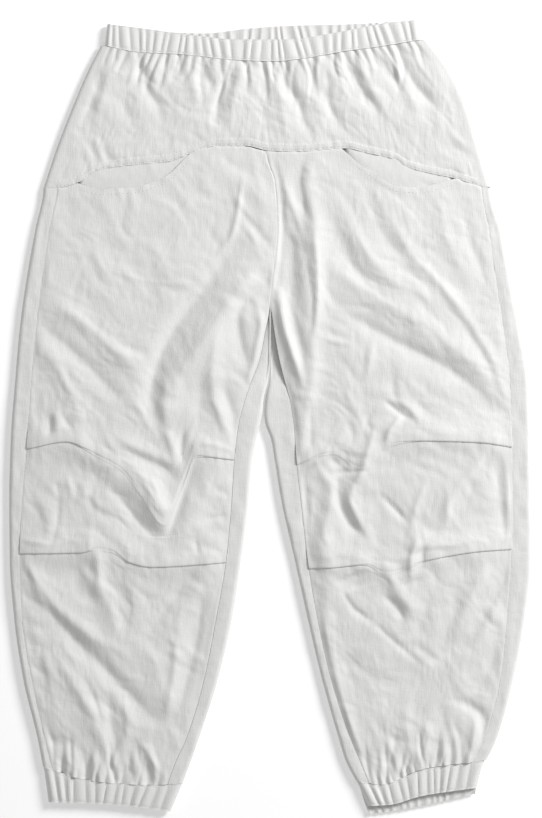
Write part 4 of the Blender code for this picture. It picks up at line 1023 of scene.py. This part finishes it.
def stitches_mesh(name, stitches):
    """One mesh of many stitches."""
    vertices = []
    faces = []
    for begin, end, half_width, half_height in stitches:
        ahead = (end - begin) / max(np.linalg.norm(end - begin), 1e-6)
        side = np.cross((0.0, 0.0, 1.0), ahead)
        side /= max(np.linalg.norm(side), 1e-6)
        up = np.cross(ahead, side)
        middle = (begin + end) / 2.0
        first = len(vertices)
        vertices += [
            begin, end, middle + side * half_width, middle + up * half_height,
            middle - side * half_width, middle - up * half_height]
        for k in range(4):
            a = first + 2 + k
            b = first + 2 + (k + 1) % 4
            faces.append((first, b, a))
            faces.append((first + 1, a, b))
    mesh = bpy.data.meshes.new(name)
    mesh.from_pydata((np.array(vertices) * MM).tolist(), [], faces)
    mesh.update()
    mesh.shade_smooth()
    piece = bpy.data.objects.new(name, mesh)
    bpy.context.scene.collection.objects.link(piece)
    return piece


def wire(tree, start, start_socket, end, end_socket):
    tree.links.new(start.outputs[start_socket], end.inputs[end_socket])


def woven_cotton(name, colour, weave):
    """Matt off-white cotton with a slub weave that runs along the garment."""
    material = bpy.data.materials.new(name)
    material.use_nodes = True
    tree = material.node_tree
    shader = tree.nodes["Principled BSDF"]
    shader.inputs["Roughness"].default_value = 0.9
    shader.inputs["Specular IOR Level"].default_value = 0.15
    shader.inputs["Sheen Weight"].default_value = 0.08
    where = tree.nodes.new("ShaderNodeTexCoord")
    stretched = tree.nodes.new("ShaderNodeMapping")
    stretched.inputs["Scale"].default_value = (1.0, 0.16, 1.0)
    wire(tree, where, "Object", stretched, "Vector")
    slubs = tree.nodes.new("ShaderNodeTexNoise")
    slubs.inputs["Scale"].default_value = 900.0
    slubs.inputs["Detail"].default_value = 3.0
    wire(tree, stretched, "Vector", slubs, "Vector")
    crossed = tree.nodes.new("ShaderNodeMapping")
    crossed.inputs["Scale"].default_value = (0.25, 1.0, 1.0)
    wire(tree, where, "Object", crossed, "Vector")
    wefts = tree.nodes.new("ShaderNodeTexNoise")
    wefts.inputs["Scale"].default_value = 800.0
    wefts.inputs["Detail"].default_value = 2.0
    wire(tree, crossed, "Vector", wefts, "Vector")
    both = tree.nodes.new("ShaderNodeMix")
    both.data_type = "FLOAT"
    both.inputs["Factor"].default_value = 0.35
    tree.links.new(slubs.outputs["Fac"], both.inputs["A"])
    tree.links.new(wefts.outputs["Fac"], both.inputs["B"])
    bump = tree.nodes.new("ShaderNodeBump")
    bump.inputs["Strength"].default_value = weave
    bump.inputs["Distance"].default_value = 0.0006
    tree.links.new(both.outputs["Result"], bump.inputs["Height"])
    wire(tree, bump, "Normal", shader, "Normal")
    shade = tree.nodes.new("ShaderNodeMix")
    shade.data_type = "RGBA"
    shade.inputs["A"].default_value = (*[c * 0.95 for c in colour], 1.0)
    shade.inputs["B"].default_value = (*[min(c * 1.05, 0.95) for c in colour], 1.0)
    tree.links.new(both.outputs["Result"], shade.inputs["Factor"])
    tree.links.new(shade.outputs["Result"], shader.inputs["Base Color"])
    return material


SHELL = woven_cotton("shell_cloth", (0.80, 0.797, 0.785), 0.5)
LINING = woven_cotton("pocket_cloth", (0.80, 0.797, 0.785), 0.3)


def show(name, points, wall, node, material, ring=False):
    piece = cloth_mesh(name, points, wall, ring)
    piece.data.materials.append(material)
    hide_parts(node)
    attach(piece, "root")
    return piece


def sew(node, lines):
    """Stitches along the lines, as one piece that goes with the cloth of a node."""
    stitches = []
    for line in lines:
        stitch_line(line, stitches)
    piece = stitches_mesh(node + "_stitches", stitches)
    piece.data.materials.append(THREAD)
    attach(piece, "root")


LEGS["right"]["creases"] = RIGHT_CREASES
LEGS["left"]["creases"] = LEFT_CREASES
WAIST = {
    "front_top": WAIST_FRONT_TOP, "front_bottom": WAIST_FRONT_BOTTOM,
    "back_top": WAIST_BACK_TOP, "back_bottom": WAIST_BACK_BOTTOM}
WAIST_RUNS = gather_runs(
    WAIST_FRONT_BOTTOM, waist_valleys(3), -1.0, 0.0042, (9.0, 40.0), (0.5, 1.3), 12)
THREAD = woven_cotton("thread", (0.82, 0.818, 0.81), 0.1)
ABOVE = SHOWN_CLOTH / 2.0 + 0.02


def casing_stitches(points, columns):
    """Lines of stitches along both edges of a casing's front."""
    front = points[:, :columns]
    return [line_beside(front, edge, CASING_STITCHES, SHOWN_CASING / 2.0) for edge in ("top", "bottom")]


def make_waist():
    points = casing_grid(
        WAIST, waist_valleys(3), WAIST_RISE, WAIST_FRONT_REST, WAIST_COLUMNS, CASING_ROWS, 4)
    show("waist_casing_cloth", points, SHOWN_CASING, "waist_casing", SHELL, ring=True)
    sew("waist_casing", casing_stitches(points, WAIST_COLUMNS))


def make_yokes():
    for face in ("front", "back"):
        points = yoke_grid(face)
        show("yoke_" + face + "_cloth", points, SHOWN_CLOTH, "yoke_" + face, SHELL)
        if face == "front":
            sew("yoke_front", [line_beside(points, "bottom", line, ABOVE) for line in YOKE_STITCHES])


def make_leg(side, leg):
    """One leg's front, back, pocket bag and cuff."""
    points = front_grid(leg)
    show(side + "_leg_front_cloth", points, SHOWN_CLOTH, side + "_leg_front", SHELL)
    mouth = leg["mouth"]
    hem = line_beside(points, "top", MOUTH_STITCHES, ABOVE)
    hem = hem[(hem[:, 0] > mouth[0][0]) & (hem[:, 0] < mouth[-1][0])]
    sew(side + "_leg_front", [hem])
    show(side + "_leg_back_cloth", back_grid(leg), SHOWN_CLOTH, side + "_leg_back", SHELL)
    show(side + "_pocket_bag_cloth", bag_grid(leg), SHOWN_CLOTH, side + "_pocket_bag", LINING)
    cuff = {key: leg["cuff_" + key] for key in ("front_top", "front_bottom", "back_top", "back_bottom")}
    points = casing_grid(cuff, leg["cuff_valleys"], CUFF_RISE, CUFF_REST, CUFF_COLUMNS, CASING_ROWS, 5)
    show(side + "_cuff_cloth", points, SHOWN_CASING, side + "_cuff", SHELL, ring=True)
    sew(side + "_cuff", casing_stitches(points, CUFF_COLUMNS))


def lay_floor():
    """A plain white surface that the pants lie on."""
    mesh = bpy.data.meshes.new("floor")
    corners = [(-FLOOR, -FLOOR, 0), (FLOOR, -FLOOR, 0), (FLOOR, FLOOR, 0), (-FLOOR, FLOOR, 0)]
    mesh.from_pydata(corners, [], [(0, 1, 2, 3)])
    floor = bpy.data.objects.new("floor", mesh)
    bpy.context.scene.collection.objects.link(floor)
    paper = bpy.data.materials.new("paper")
    paper.use_nodes = True
    shader = paper.node_tree.nodes["Principled BSDF"]
    shader.inputs["Base Color"].default_value = (0.92, 0.92, 0.92, 1.0)
    shader.inputs["Roughness"].default_value = 1.0
    shader.inputs["Emission Color"].default_value = (1.0, 1.0, 1.0, 1.0)
    shader.inputs["Emission Strength"].default_value = FLOOR_GLOW
    mesh.materials.append(paper)


def light_and_view():
    """A white room, one broad lamp from the upper right, and a camera straight above."""
    scene = bpy.context.scene
    world = bpy.data.worlds.new("world")
    scene.world = world
    world.use_nodes = True
    world.node_tree.nodes["Background"].inputs["Color"].default_value = (1.0, 1.0, 1.0, 1.0)
    world.node_tree.nodes["Background"].inputs["Strength"].default_value = ROOM_STRENGTH
    lamp_data = bpy.data.lights.new("key", "AREA")
    lamp_data.shape = "DISK"
    lamp_data.size = LAMP_SIZE
    lamp_data.energy = LAMP_ENERGY
    lamp = bpy.data.objects.new("key", lamp_data)
    scene.collection.objects.link(lamp)
    level = LAMP_AWAY * np.cos(LAMP_ELEVATION)
    lamp.location = (level * LIGHT[0], level * LIGHT[1], LAMP_AWAY * np.sin(LAMP_ELEVATION))
    lamp.rotation_mode = "QUATERNION"
    lamp.rotation_quaternion = (-Vector(lamp.location)).to_track_quat("-Z", "Y")
    camera_data = bpy.data.cameras.new("camera")
    camera_data.lens = LENS
    camera_data.clip_end = 20.0
    camera = bpy.data.objects.new("camera", camera_data)
    scene.collection.objects.link(camera)
    camera.location = (*VIEW_MIDDLE, VIEW_LEVEL + VIEW_HEIGHT * LENS / SENSOR)
    scene.camera = camera
    scene.view_settings.view_transform = "Standard"


for side, leg in LEGS.items():
    leg["cuff_runs"] = gather_runs(
        leg["cuff_front_top"], leg["cuff_valleys"], 1.0, 0.0, (10.0, 38.0), (0.5, 1.5), 14)
make_waist()
make_yokes()
for side, leg in LEGS.items():
    make_leg(side, leg)
lay_floor()
light_and_view()
